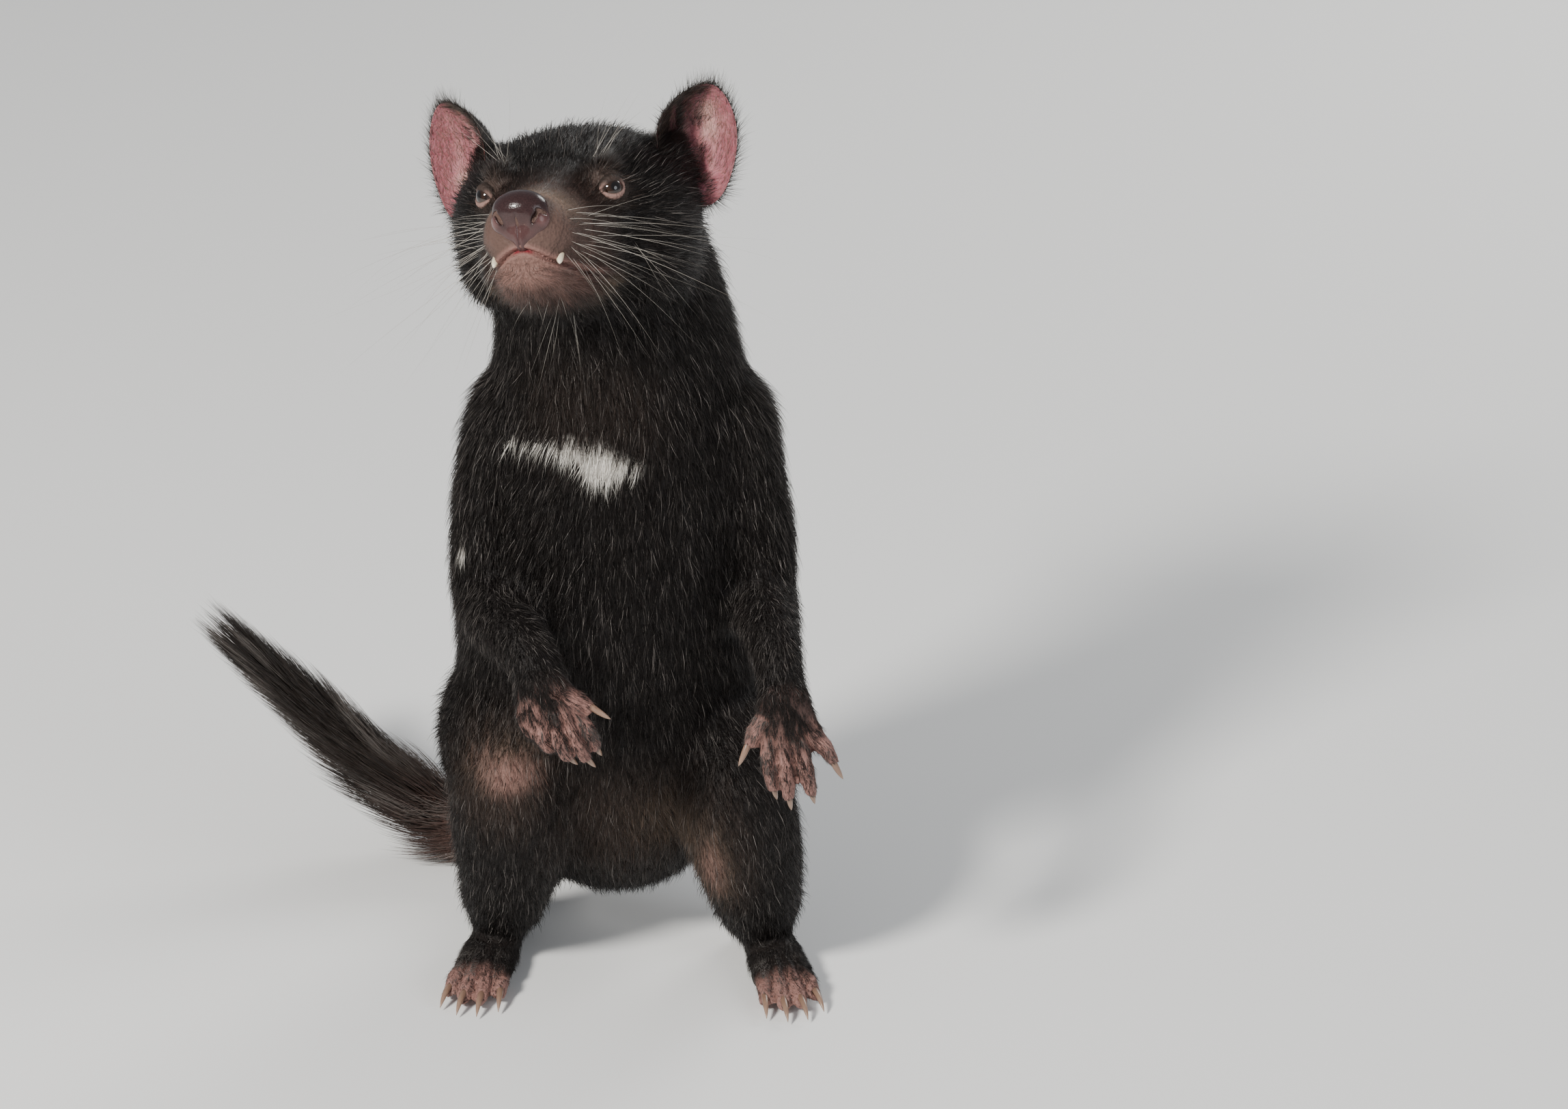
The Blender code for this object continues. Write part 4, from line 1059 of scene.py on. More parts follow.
def coat_over(
    name, count, thick, seed, scale=1.0, width=0.00036, rise=HAIR_RISE, rings=1,
    wander=0.15, dark=0.0, fall=0.0, glint=0.0, way_as=None,
):
    """A coat over the skin wherever thick says, by the ways and lengths of the lines.

    Each tuft takes on the colour of bare or brown skin under it by a share of its own, and
    dark is how far all of them keep from it. Fall is how far the hair hangs straight down
    rather than along its line. Glint adds to its pale strands, which are painted glints.
    Way_as is one way for all."""
    draw = np.random.default_rng(seed)
    roots = rooted(SKIN_SURFACE, count, thick, draw)
    way, hair, shares = along_lines(roots["at"])
    marks = marks_at(roots["at"], shares)
    most = (1 - sum(shares[limb] for limb in (*FINGERS, *HEELS))) * (1 - dark)
    uneven = most * np.clip(draw.normal(0.90, 0.50, count), 0.05, 1.6)
    for mark, share in (("bare", uneven), ("brown", uneven), ("tan", uneven + 1 - most)):
        marks[mark] = np.clip(marks[mark] * share, 0, 1)
    way = way - (0, 0, fall)
    if way_as is not None:
        way = np.array(way_as) @ HEAD_TURN.T + np.zeros_like(way)
    way = lying(way, roots["up"], draw, roots["at"], wander, 0.22)
    length = hair * scale * draw.uniform(0.75, 1.15, count) * (1 - 0.35 * marks["bare"])
    in_clump = clump_shift(roots["at"], CLUMP, 3)[:, 0]
    lift = length * rise * (draw.uniform(0.55, 1.2, count) + 0.25 * in_clump)
    sway = length * draw.normal(0, SWAY, count)
    marks["strand"] = draw.random(count) ** (1 - glint)
    width = width * draw.uniform(0.7, 1.2, count)
    coat_piece(name, roots, way, length, width, lift, sway, rings, marks)


EAR_FOOT = np.array((0.0470, 0.0020, 0.0400))
PAW_HAIRS = 8500
LANE, LANES_BARE, STRAYS = 0.0010, 0.56, 0.12
PAW_HAIR = (0.0062, 0.0054, 0.0042, 0.0022)


def paw_coat(limb, count, seed):
    """Wet dark hair on the back of a hand or foot. It runs down each digit, drawn into streaks.

    The streaks are lanes along the digit. Towards its end over half of them are left bare, but
    for a few stray hairs, and some of the others are smoother and painted pale, as painted glints."""
    draw = np.random.default_rng(seed)
    up = SKIN_SURFACE["normals"]
    facing = -up[:, 1] if limb.startswith("hand") else up[:, 2] * 0.8 - up[:, 1] * 0.3
    thick = skin_shares[limb] * smooth_step(-0.35, 0.35, facing) * above_floor
    roots = rooted(SKIN_SURFACE, count, thick, draw)
    offs, nearest, place, down = near_digits(roots["at"], limb)
    aside = unit(np.cross(down, roots["up"]))
    across = ((roots["at"] - digits_of(limb)[nearest, 0]) * aside).sum(1)
    lane = np.floor(across / LANE + 0.3 * draw.normal(0, 1, count))
    bare_lanes = LANES_BARE * smooth_step(-0.6, 1.0, place)
    kept = scattered((lane + nearest * 31) * 12.9898) > bare_lanes
    kept = kept | (draw.random(count) < STRAYS)
    roots = {key: value[kept] for key, value in roots.items()}
    away, nearest, place, down, lane = (
        value[kept] for value in (offs.min(0), nearest, place, down, lane)
    )
    count = len(place)
    way, _, shares = along_lines(roots["at"])
    way = way - (0, 0, 0.8)
    on_digit = smooth_step(0.0, 0.8, place) * (away < 0.02)
    way = way + (down - way) * on_digit[:, None]
    way = lying(way, roots["up"], draw, roots["at"], 0.08, 0.30)
    length = np.interp(place, (0.0, 1.0, 2.2, 3.0), PAW_HAIR) * draw.uniform(0.7, 1.15, count)
    marks = marks_at(roots["at"], shares)
    marks["bare"], marks["brown"] = marks["bare"] * 0.03, marks["brown"] * 0.2
    # Painted glints: some lanes get high strand values, so they are painted pale as well as
    # smoother.
    glinting_lanes = scattered((lane + nearest * 17) * 78.233) > 0.72
    glinting_lanes = glinting_lanes * smooth_step(-0.2, 0.6, place)
    strand = 0.84 * draw.random(count) * (1 - glinting_lanes)
    marks["strand"] = strand + glinting_lanes * draw.uniform(0.90, 0.98, count)
    lift = length * draw.uniform(0.16, 0.34, count)
    width = draw.uniform(0.00020, 0.00034, count)
    sway = length * draw.normal(0, SWAY, count)
    coat_piece(f"coat_{limb}", roots, way, length, width, lift, sway, 1, marks, WET_HAIR)


def eye_clearance(points):
    """1 away from the eyes, and 0 within their lids, so that no tuft crosses an eye."""
    clear = np.ones(len(points))
    for sign in (1, -1):
        away = distance(points, from_head(EYE_AT * (sign, 1, 1)))
        clear *= smooth_step(0.0080, 0.0092, away)
    return clear


# Where each kind of hair grows, for every point of the skin.
skin_points = SKIN_SURFACE["points"]
_, _, skin_shares = along_lines(skin_points)
skin_marks = marks_at(skin_points, skin_shares)
skin_face = to_head(skin_points)
above_floor = smooth_step(0.0, 0.004, skin_points[:, 2])
furred = (1 - 0.45 * skin_marks["bare"]) * above_floor
muzzle = skin_shares["head"] * smooth_step(-0.030, -0.052, skin_face[:, 1])
off_nose = smooth_step(-0.0860, -0.0740, skin_face[:, 1])
in_lips = muzzle * bump_at(lip_height(skin_face), 0.0016)
head_hair = skin_shares["head"] * eye_clearance(skin_points) * off_nose * (1 - in_lips)
wrists = [smooth_step(0.95, 0.5, skin_shares[name]) * skin_shares[name] for name in FINGERS]
above_sole = smooth_step(0.010, 0.022, skin_points[:, 2])
ankles = 2.2 * sum(skin_shares[name] for name in HEELS) * above_sole
arms = (skin_shares["arm_left"] + skin_shares["arm_right"]) * furred + 2.0 * sum(wrists)
legs = (skin_shares["leg_left"] + skin_shares["leg_right"]) * furred + ankles
tail_root = skin_shares["tail"] * smooth_step(-0.125, -0.09, skin_points[:, 0] - HOME[0])
trunk = skin_shares["trunk"] * furred
crown = head_hair * (1 - muzzle) * furred
coat_over("coat_trunk", 70000, trunk, 21)
coat_over("coat_trunk_long", 13000, trunk, 61, scale=1.15, rise=0.34, rings=2)
coat_over("coat_head", 42000, crown, 22, width=0.00027, rise=0.17)
coat_over("coat_head_long", 6000, crown, 62, scale=1.35, width=0.00032, rise=0.40, rings=2)
coat_over("coat_muzzle", 34000, head_hair * muzzle, 23, width=0.00022, dark=0.26)
coat_over("coat_arms", 22000, arms, 24, width=0.00034, fall=0.9, glint=0.45)
coat_over(
    "coat_arms_long", 6200, arms, 64, scale=1.4, width=0.00042, rise=0.28, rings=2,
    fall=0.9, glint=0.30,
)
coat_over("coat_legs", 29400, legs, 25)
coat_over("coat_legs_long", 6000, legs, 65, scale=1.3, width=0.00038, rise=0.40, rings=2)
coat_over("coat_tail_root", 9000, tail_root, 27, width=0.00034)
height = lip_height(skin_face)
chin = muzzle * smooth_step(-0.001, -0.004, height) * smooth_step(-0.058, -0.050, skin_face[:, 2])
coat_over("coat_chin", 3600, chin, 81, scale=2.0, width=0.00018, rise=0.60, wander=0.35)
for number, sign in enumerate((1, -1), 1):
    base = skin_shares["head"] * bump_at(distance(skin_face, EAR_FOOT * (sign, 1, 1)), 0.0085)
    coat_over(
        f"coat_ear_foot_{number}", 1500, base, 83 + number, scale=1.25, width=0.00026, rise=0.5,
        way_as=(0.60 * sign, 0.1, 0.80),
    )
brows = sum(bump_at(distance(skin_face, BROW_AT * (sign, 1, 1)), 0.0045) for sign in (1, -1))
brows = brows * eye_clearance(skin_points)
coat_over("coat_brows", 900, brows, 82, scale=1.2, width=0.00020, rise=0.55)
for seed, limb in enumerate(PAWS, 71):
    paw_coat(limb, PAW_HAIRS, seed)


# The eyes
# Wet dark-brown balls, nearly all iris, with a clear bulge over the pupil. The lids are bare
# pink-brown rims that lie on the ball and pass under the fur of the face.
EYE_OUT = math.radians(42.0)
EYE_LIFT = math.radians(-3.0)
LID_TILT = math.radians(-14.0)
LID_WIDE, LID_HIGH, LID_LOW = math.radians(57.0), math.radians(27.0), math.radians(34.0)
LID_END = math.radians(104.0)
LID_CORNER = math.radians(9.0)
LID_THICK = 0.0005
EYE_RINGS, EYE_AROUND = 64, 72
EYE_BULGE = 0.00045


def eye_axes(sign, tilt=0.0):
    """Columns: towards the animal's left, back from the gaze, and up, in the head's frame."""
    out = Matrix.Rotation(EYE_OUT * sign, 3, "Z") @ Matrix.Rotation(EYE_LIFT, 3, "X")
    return np.array(out @ Matrix.Rotation(tilt * sign, 3, "Y"))


def on_eye(sign, from_gaze, round_gaze, radius, tilt=0.0):
    """A point at these angles and this radius from an eye's centre, set in place.

    By the eye's axes it is sin(from) cos(round), less cos(from), and sin(from) sin(round)."""
    wide = np.sin(from_gaze)
    local = (wide * np.cos(round_gaze), -np.cos(from_gaze), wide * np.sin(round_gaze))
    local = np.stack(local, axis=-1)
    return from_head(EYE_AT * (sign, 1, 1) + (local * radius[..., None]) @ eye_axes(sign, tilt).T)


def eyeball(side, sign):
    """Rings round the gaze, from its front to its back. The clear front stands out as a bell."""
    from_gaze = np.linspace(0.02, np.pi - 0.02, EYE_RINGS)[:, None] * np.ones(EYE_AROUND)
    turn = np.linspace(0, 2 * np.pi, EYE_AROUND, endpoint=False) * np.ones((EYE_RINGS, 1))
    radius = EYE_RADIUS + EYE_BULGE * bump_at(from_gaze, 0.62)
    mesh = grid_mesh(f"eye_{side}_ball", on_eye(sign, from_gaze, turn, radius))
    values = np.append(from_gaze.ravel(), (0.0, np.pi))
    around = np.append((np.sin(turn * 23) * 0.5 + np.sin(turn * 41 + 1) * 0.5).ravel(), (0.0, 0.0))
    keep_values(mesh, {"from_gaze": values, "fibre": around})
    return linked(f"eye_{side}_ball", mesh)


def eye_paint():
    """Pupil, iris with fibres, and a dark rim, by the angle from the gaze."""
    looks = {"Roughness": 0.06, "IOR": 1.40, "Coat_Weight": 0.6, "Coat_Roughness": 0.02}
    made, tree, shader = painted("wet_eye", **looks)
    angle = maths(tree, "DIVIDE", value_of(tree, "from_gaze"), math.pi)
    ramp = node(tree, "ShaderNodeValToRGB", {"Fac": angle})
    for place, colour in (
        (0.105, (0.0016, 0.0012, 0.0012, 1)),
        (0.125, (0.0240, 0.0095, 0.0042, 1)),
        (0.200, (0.0520, 0.0220, 0.0090, 1)),
        (0.255, (0.0160, 0.0070, 0.0045, 1)),
        (0.300, (0.0650, 0.0400, 0.0330, 1)),
    ):
        stop = ramp.color_ramp.elements.new(place)
        stop.color = colour
    ramp.color_ramp.elements.remove(ramp.color_ramp.elements[0])
    ramp.color_ramp.elements.remove(ramp.color_ramp.elements[-1])
    fibre = maths(tree, "MULTIPLY_ADD", value_of(tree, "fibre"), 0.3, 0.5)
    colour = mix(tree, fibre, ramp.outputs["Color"], (0.004, 0.002, 0.002, 1))
    fed(tree, shader, {"Base Color": colour})
    return made


def lid_ring(side, sign):
    """The lids as one ring of skin round the gaze, from inside its edge out under the fur.

    The edge is an ellipse in angle, lower below than above, drawn out to a corner towards the
    nose. From there the skin swells to a round rim, and sinks back to the ball's own size."""
    around, across = 120, 26
    turn = np.linspace(0, 2 * np.pi, around, endpoint=False)
    high = np.where(np.sin(turn) > 0, LID_HIGH, LID_LOW)
    edge = 1 / np.sqrt((np.cos(turn) / LID_WIDE) ** 2 + (np.sin(turn) / high) ** 2)
    inward = np.pi if sign > 0 else 0.0
    off = np.abs((turn - inward + np.pi) % (2 * np.pi) - np.pi)
    edge = edge + LID_CORNER * np.exp(-((off / 0.30) ** 2))
    share = np.linspace(0, 1, across)[:, None]
    from_gaze = edge + (LID_END - edge) * share**1.25
    profile_at = (0.0, 0.05, 0.12, 0.22, 0.34, 0.50, 0.68, 0.84, 1.0)
    profile = (-0.0003, 0.00020, 0.00050, 0.00070, 0.00060, 0.00065, 0.00040, 0.00000, -0.0010)
    swell = np.interp(share[:, 0], profile_at, profile)[:, None]
    upper = 1 + 0.35 * np.clip(np.sin(turn), 0, 1) * bump_at(share - 0.45, 0.25)
    fold = 0.00012 * np.sin(turn * 17) * bump_at(share - 0.30, 0.15)
    radius = EYE_RADIUS + swell * upper + fold
    rows = on_eye(sign, from_gaze, turn[None] * np.ones_like(from_gaze), radius, LID_TILT)
    _, _, quads = ring_quads(across, around)
    mesh = bpy.data.meshes.new(f"lids_{side}")
    mesh.from_pydata(rows.reshape(-1, 3), [], quads.tolist())
    rim = smooth_step(0.50, 0.20, share) * smooth_step(-0.02, 0.10, share)
    rim = (rim * (0.62 - 0.58 * np.clip(np.sin(turn) * 1.4, 0, 1))).ravel()
    looks = {"bare": rim, "brown": np.full(len(rim), 0.5), "tan": rim * 0.25, "white": rim * 0.08}
    keep_values(mesh, looks)
    piece = linked(f"lids_{side}", mesh)
    thick = piece.modifiers.new("thick", "SOLIDIFY")
    thick.thickness = LID_THICK
    thick.offset = -1.0
    return applied(piece)


EYE_PAINT, LID_PAINT = eye_paint(), skin.data.materials[0]
for side, sign in (("left", 1), ("right", -1)):
    ball = eyeball(side, sign)
    ball.data.materials.append(EYE_PAINT)
    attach(ball, "root")
    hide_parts(f"eye_{side}")
    lids = lid_ring(side, sign)
    lids.data.materials.append(LID_PAINT)
    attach(lids, "root")


# The nose
# A bare wet pad, glossy purple-brown: two lobes over a grooved lip, with a comma-shaped nostril
# each side. Its skin is pebbled.
NOSE_AT = np.array((0.0, -0.0905, -0.0085))
NOSE_VOXEL, NOSTRIL_VOXEL = 0.00055, 0.00055 * 0.8
NOSE_LOBES = [
    ((0, 0.0000, 0.0030), (0.0142, 0.0105, 0.0095)),
    ((0, 0.0020, -0.0080), (0.0052, 0.0080, 0.0105)),
    ((0.0085, 0.0010, -0.0025), (0.0066, 0.0082, 0.0074)),
    ((-0.0085, 0.0010, -0.0025), (0.0066, 0.0082, 0.0074)),
    ((0.0046, 0.0032, -0.0080), (0.0056, 0.0080, 0.0056)),
    ((-0.0046, 0.0032, -0.0080), (0.0056, 0.0080, 0.0056)),
]
NOSTRIL = ((0.0090, -0.0078, -0.0022), (0.0012, 0.0060, 0.0036))
NOSTRIL_TAIL = ((0.0122, -0.0052, 0.0004), (0.0034, 0.0050, 0.0009))
NOSTRIL_TURN = math.radians(30.0)


def ellipsoid(into, centre, radii, turn=0.0):
    """Adds an ellipsoid of the nose's own frame to a bmesh, turned about the snout's line."""
    made = bmesh.ops.create_uvsphere(into, u_segments=40, v_segments=24, radius=1.0)["verts"]
    shape = Matrix.Rotation(turn, 4, "Y") @ Matrix.Diagonal((*radii, 1.0))
    head = Matrix.Translation(HEAD_AT) @ Matrix(HEAD_TURN.tolist()).to_4x4()
    place = head @ Matrix.Translation(NOSE_AT + centre) @ shape
    bmesh.ops.transform(into, matrix=place, verts=made)


def nose_pad():
    """The lobes fused and smoothed, the nostrils cut out, and the groove pressed in."""
    lobes = bmesh.new()
    for centre, radii in NOSE_LOBES:
        ellipsoid(lobes, np.array(centre), radii)
    piece = fused(linked("nose_pad", mesh_of("nose_pad", lobes)), NOSE_VOXEL)
    set_positions(piece.data, relaxed(piece.data, positions(piece.data), 0.65, 30))
    pits = bmesh.new()
    for sign in (1, -1):
        for centre, radii in (NOSTRIL, NOSTRIL_TAIL):
            ellipsoid(pits, np.array(centre) * (sign, 1, 1), radii, NOSTRIL_TURN * sign)
    cutter = fused(linked("pits", mesh_of("pits", pits)), NOSTRIL_VOXEL)
    cut = piece.modifiers.new("cut", "BOOLEAN")
    cut.operation = "DIFFERENCE"
    cut.object = cutter
    applied(piece)
    bpy.data.objects.remove(cutter)
    fused(piece, NOSTRIL_VOXEL)
    shape = relaxed(piece.data, positions(piece.data), 0.5, 3)
    set_positions(piece.data, shape)
    local = to_head(shape) - NOSE_AT
    groove = bump_at(local[:, 0], 0.0006) * smooth_step(0.0010, -0.0040, local[:, 2])
    groove *= smooth_step(0.002, -0.002, local[:, 1])
    shape = shape - normals(piece.data) * (0.0009 * groove)[:, None]
    set_positions(piece.data, shape)
    # Where the nostrils' insides get painted shade, near black.
    inward = smooth_step(-0.0092, -0.0070, local[:, 1] + 0.25 * np.abs(local[:, 0]) - 0.0002)
    out, above = np.abs(local[:, 0]) - NOSTRIL[0][0], local[:, 2] - NOSTRIL[0][2]
    nostril_shade = bump_at(np.hypot(out - 0.5 * above, above * 0.4), 0.0018) * inward
    flap = bump_at(np.hypot(np.abs(local[:, 0]) - 0.0135, local[:, 2] + 0.0040), 0.0042)
    low = smooth_step(0.003, -0.010, local[:, 2])
    keep_values(piece.data, {"pit": nostril_shade, "flap": np.maximum(0.8 * flap, 0.35 * low)})
    piece.data.polygons.foreach_set("use_smooth", np.full(len(piece.data.polygons), True))
    return piece


def nose_paint():
    """Dark above, browner and paler low down and on the wings of the nostrils. Painted shade
    darkens the pits of its pebbling, and is near black inside the nostrils.
    """
    looks = {"Roughness": 0.24, "Specular_IOR_Level": 0.22}
    looks.update({"Coat_Weight": 0.28, "Coat_Roughness": 0.06})
    made, tree, shader = painted("wet_nose", **looks)
    fine = grain(tree, 1300.0, 0.00007)
    # Painted shade: darker in the pits of the pebbled grain.
    tone = mix(tree, fine["Cells"], (0.018, 0.0085, 0.0088, 1), (0.036, 0.0175, 0.0180, 1))
    tone = mix(tree, value_of(tree, "flap"), tone, (0.145, 0.066, 0.062, 1))
    # Painted shade, near black, inside the nostrils.
    tone = mix(tree, value_of(tree, "pit"), tone, (0.006, 0.002, 0.002, 1))
    fed(tree, shader, {"Base Color": tone, "Normal": fine["Normal"]})
    return made


nose = nose_pad()
nose.data.materials.append(nose_paint())
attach(nose, "root")
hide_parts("nose")


# The ears
# Thin cups of bare skin, pink and finely veined inside, with folds at their root and a dark
# haired back. A fringe of fine hair follows the rear edge, and pale hairs cross the inside.
EAR_CENTRE = (0.0620, 0.0080, 0.0320)
EAR_YAW, EAR_PITCH, EAR_LEAN = math.radians(32.0), math.radians(8.0), math.radians(-4.0)
EAR_WIDE, EAR_HIGH, EAR_EGG, EAR_CUP = 0.0205, 0.0302, 0.09, 0.0190
EAR_SWEEP = 0.17
EAR_THICK = 0.0016
# Upright folds inside the cup: height, place across and its lean, width, and where they rise.
EAR_FOLDS = [
    (0.0034, 0.0035, 0.22, 0.0026, (-0.016, 0.000)),
    (0.0014, -0.0060, 0.10, 0.0020, (-0.008, 0.004)),
    (0.0010, -0.0125, 0.05, 0.0016, (-0.012, 0.002)),
]
# Hair by kind: how many tufts, their length, width and rings, how steep, and their markings.
EAR_HAIRS = [
    ("back", 4600, (0.0056, 0.00032, 1), 0.22, {"brown": 0.1}),
    ("fringe", 780, (0.0092, 0.00018, 2), 0.20, {"brown": 0.4}),
    ("front", 4400, (0.0090, 0.00024, 1), 0.20, {"brown": 0.25}),
    ("inner", 2600, (0.0062, 0.00018, 1), 0.22, {"tan": 0.35, "brown": 0.8}),
]


def ear_surface(sign):
    """Two sheets that meet at the rim. Across and up follow the egg of the rim, and the depth of
    the cup is one less the reach to the power 2.2, less the folds on the inner sheet.

    The upper half sweeps out sideways, by the sweep times up squared for each height."""
    reach = np.append(np.linspace(0.03, 0.9, 34), np.linspace(0.92, 1.0, 8))[:, None]
    angle = np.linspace(0, 2 * np.pi, 140, endpoint=False)[None]
    across = EAR_WIDE * reach * np.cos(angle) * (1 + EAR_EGG * np.sin(angle))
    up = EAR_HIGH * reach * np.sin(angle)
    ripple = 1 + 0.016 * np.sin(angle * 5 + 0.6) * reach**4
    across, up = across * ripple, up * ripple
    across = across + EAR_SWEEP * np.clip(up, 0, None) ** 2 / EAR_HIGH
    cup = EAR_CUP * (1 - reach**2.2) * np.ones_like(angle)
    fold = 0.0058 * bump_at(np.hypot(across - 0.0050, (up + 0.0185) * 0.8), 0.0040)
    fold += 0.0040 * bump_at(np.hypot((across - 0.0095) * 0.9, (up + 0.0095) * 0.6), 0.0036)
    for high, at, lean, width, rises in EAR_FOLDS:
        fold += high * bump_at(across + at + lean * up, width) * smooth_step(*rises, up)
    roll = 0.0012 * smooth_step(0.86, 0.96, reach) * np.ones_like(angle)
    fold = fold * (1 - reach**3)
    inner = np.stack((across * sign, cup - fold - roll * 0.5, up), axis=-1)
    thick = EAR_THICK * np.sqrt(np.clip(1 - reach**6, 0, 1))
    outer = np.stack((across * sign, cup + thick, up), axis=-1)
    return inner, outer, reach, fold


def ear_place(sign):
    """Columns of an ear's own frame, in the head's frame."""
    turn = Matrix.Rotation(EAR_YAW * sign, 3, "Z") @ Matrix.Rotation(EAR_PITCH, 3, "X")
    return np.array(turn @ Matrix.Rotation(EAR_LEAN * sign, 3, "Y"))


def ear_piece(side, sign):
    """An ear's cup, with its values: inside or not, reach, shade near the head and in the hole,
    and folds. Each is given to all rings and to the two end points."""
    inner, outer, reach, fold = ear_surface(sign)
    rows = np.concatenate((inner, outer[-2::-1]))
    place = from_head(rows @ ear_place(sign).T + np.array(EAR_CENTRE) * (sign, 1, 1))
    mesh = grid_mesh(f"ear_{side}_cup", place if sign < 0 else place[:, ::-1])
    every = np.ones(rows.shape[:2])
    inside = (np.arange(len(rows)) < len(inner))[:, None] * every
    edge = np.concatenate((reach, reach[-2::-1])) * every
    across, high = rows[:, :, 0] * sign, rows[:, :, 2]
    # For the paint: shade is dark near the head and painted shade in the ear hole, and ridge is the
    # folds' height, which is painted paler as painted highlights.
    near_head = smooth_step(0.38, -0.35, across / EAR_WIDE)
    hole = bump_at(np.hypot(across + 0.0035, (high + 0.0120) * 0.7), 0.0058)
    ridge = np.concatenate((fold, np.zeros_like(fold[1:]))) / 0.004
    looks = {
        "inside": np.append(inside, (1.0, 0.0)),
        "edge": np.append(edge, (0.0, 0.0)),
        "shade": np.append(np.maximum(near_head, hole), (0.5, 0.5)),
        "ridge": np.append(ridge, (0.0, 0.0)),
    }
    keep_values(mesh, looks)
    piece = linked(f"ear_{side}_cup", mesh)
    net = bmesh.new()
    net.from_mesh(mesh)
    bmesh.ops.recalc_face_normals(net, faces=net.faces)
    net.to_mesh(mesh)
    net.free()
    unwrapped(piece)
    return piece


def ear_paint():
    """Pink inside, with red veins, painted highlights on the ridges of its folds, painted shade in
    its hole, dark near the head, a darker rim, and near-black skin on the back.
    """
    looks = {"Roughness": 0.6, "Specular_IOR_Level": 0.25}
    looks.update({"Subsurface_Weight": 0.25, "Subsurface_Scale": 0.002})
    made, tree, shader = painted("ear_skin", **looks)
    veins = maths(tree, "POWER", noise(tree, 140.0, 6.0, 1.6), 0.8)
    pink = mix(tree, veins, (0.54, 0.235, 0.250, 1), (0.23, 0.045, 0.070, 1))
    rim = maths(tree, "POWER", value_of(tree, "edge"), 14.0)
    # Painted highlights on the ridges, painted shade in the hole and dark near the head, then the
    # rim.
    for share, most, colour in (
        (value_of(tree, "ridge"), 0.75, (0.70, 0.44, 0.38, 1)),
        (value_of(tree, "shade"), 0.9, (0.050, 0.020, 0.020, 1)),
        (rim, 0.35, (0.080, 0.040, 0.040, 1)),
    ):
        pink = mix(tree, maths(tree, "MULTIPLY", share, most), pink, colour)
    colour = mix(tree, value_of(tree, "inside"), (0.012, 0.009, 0.008, 1), pink)
    normal = grain(tree, 800.0, 0.0003)["Normal"]
    fed(tree, shader, {"Base Color": colour, "Normal": normal})
    return made


def ear_hairs(side, sign, surface, draw, kind, count, size, lift_by, tone):
    """One kind of hair of an ear: on its back, as a fringe of its rim, over the edge next to the
    head, or sparse inside the cup. All of it points away from the ear's root."""
    turned = ear_place(sign)
    local = (to_head(surface["points"]) - np.array(EAR_CENTRE) * (sign, 1, 1)) @ turned
    reach = surface["reach"]
    front = (surface["normals"] @ HEAD_TURN @ turned)[:, 1] < 0
    across = local[:, 0] * sign / EAR_WIDE
    thick = {
        "back": np.where(front, 0.0, 1.0) + 0.5 * smooth_step(0.93, 0.98, reach),
        "fringe": smooth_step(0.93, 0.97, reach) * smooth_step(-0.5, 0.3, across),
        "front": front * smooth_step(0.45, -0.45, across + 0.16 * np.sin(local[:, 2] * 400)),
        "inner": front * smooth_step(0.98, 0.85, reach) * smooth_step(0.2, 0.5, reach),
    }[kind]
    roots = rooted(surface, count, np.maximum(thick, 1e-7), draw)
    at = (to_head(roots["at"]) - np.array(EAR_CENTRE) * (sign, 1, 1)) @ turned
    if kind == "front":
        outward = (np.full(count, 0.75 * sign), np.zeros(count), at[:, 2] * 18 + 0.65)
    else:
        outward = (at[:, 0], np.zeros(count), at[:, 2] + 0.020)
    way = unit(np.column_stack(outward)) @ turned.T @ HEAD_TURN.T
    if kind == "fringe":
        way = unit(way + 0.5 * roots["up"] * draw.normal(0, 0.6, (count, 1)))
    else:
        way = lying(way, roots["up"], draw, roots["at"], 0.22, 0.25)
    long, wide, rings = size
    length = long * draw.uniform(0.55, 1.2, count)
    # More pale strands than on the coat: more painted glints.
    values = {"strand": draw.random(count) ** 0.6}
    values.update({name: np.full(count, value) for name, value in tone.items()})
    lift = length * lift_by * draw.uniform(0.5, 1.3, count)
    width = wide * draw.uniform(0.7, 1.2, count)
    sway = length * draw.normal(0, 0.14, count)
    coat_piece(f"ear_{side}_{kind}_hair", roots, way, length, width, lift, sway, rings, values)


EAR_PAINT = ear_paint()
for side, sign in (("left", 1), ("right", -1)):
    ear = ear_piece(side, sign)
    ear.data.materials.append(EAR_PAINT)
    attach(ear, "root")
    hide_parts(f"ear_{side}")
    ear_skin = surface_of(ear.data)
    ear_skin["reach"] = np.empty(len(ear.data.vertices), np.float32)
    ear.data.attributes["edge"].data.foreach_get("value", ear_skin["reach"])
    draw = np.random.default_rng(43 + sign)
    for hair_row in EAR_HAIRS:
        ear_hairs(side, sign, ear_skin, draw, *hair_row)


# Teeth and claws
# Two off-white canines show past the upper lip. Each digit ends in a long blunt claw of tan
# horn, bent downwards, with darker grain along it.
CLAW_AROUND, CLAW_STEPS, CLAW_FLAT = 14, 18, 0.85
TEETH_DROP = 0.0038


def tubes(name, rows, value):
    """Closed tubes in one piece, with a value that runs from 0 at their roots to 1 at their
    tips."""
    net = bmesh.new()
    for rings in rows:
        poured(grid_mesh("tube", rings), net)
    bmesh.ops.recalc_face_normals(net, faces=net.faces)
    mesh = mesh_of(name, net)
    steps, around = rows[0].shape[:2]
    each = np.append(np.repeat(np.linspace(0, 1, steps), around), (0.0, 1.0))
    keep_values(mesh, {value: np.tile(each, len(rows))})
    return linked(name, mesh)


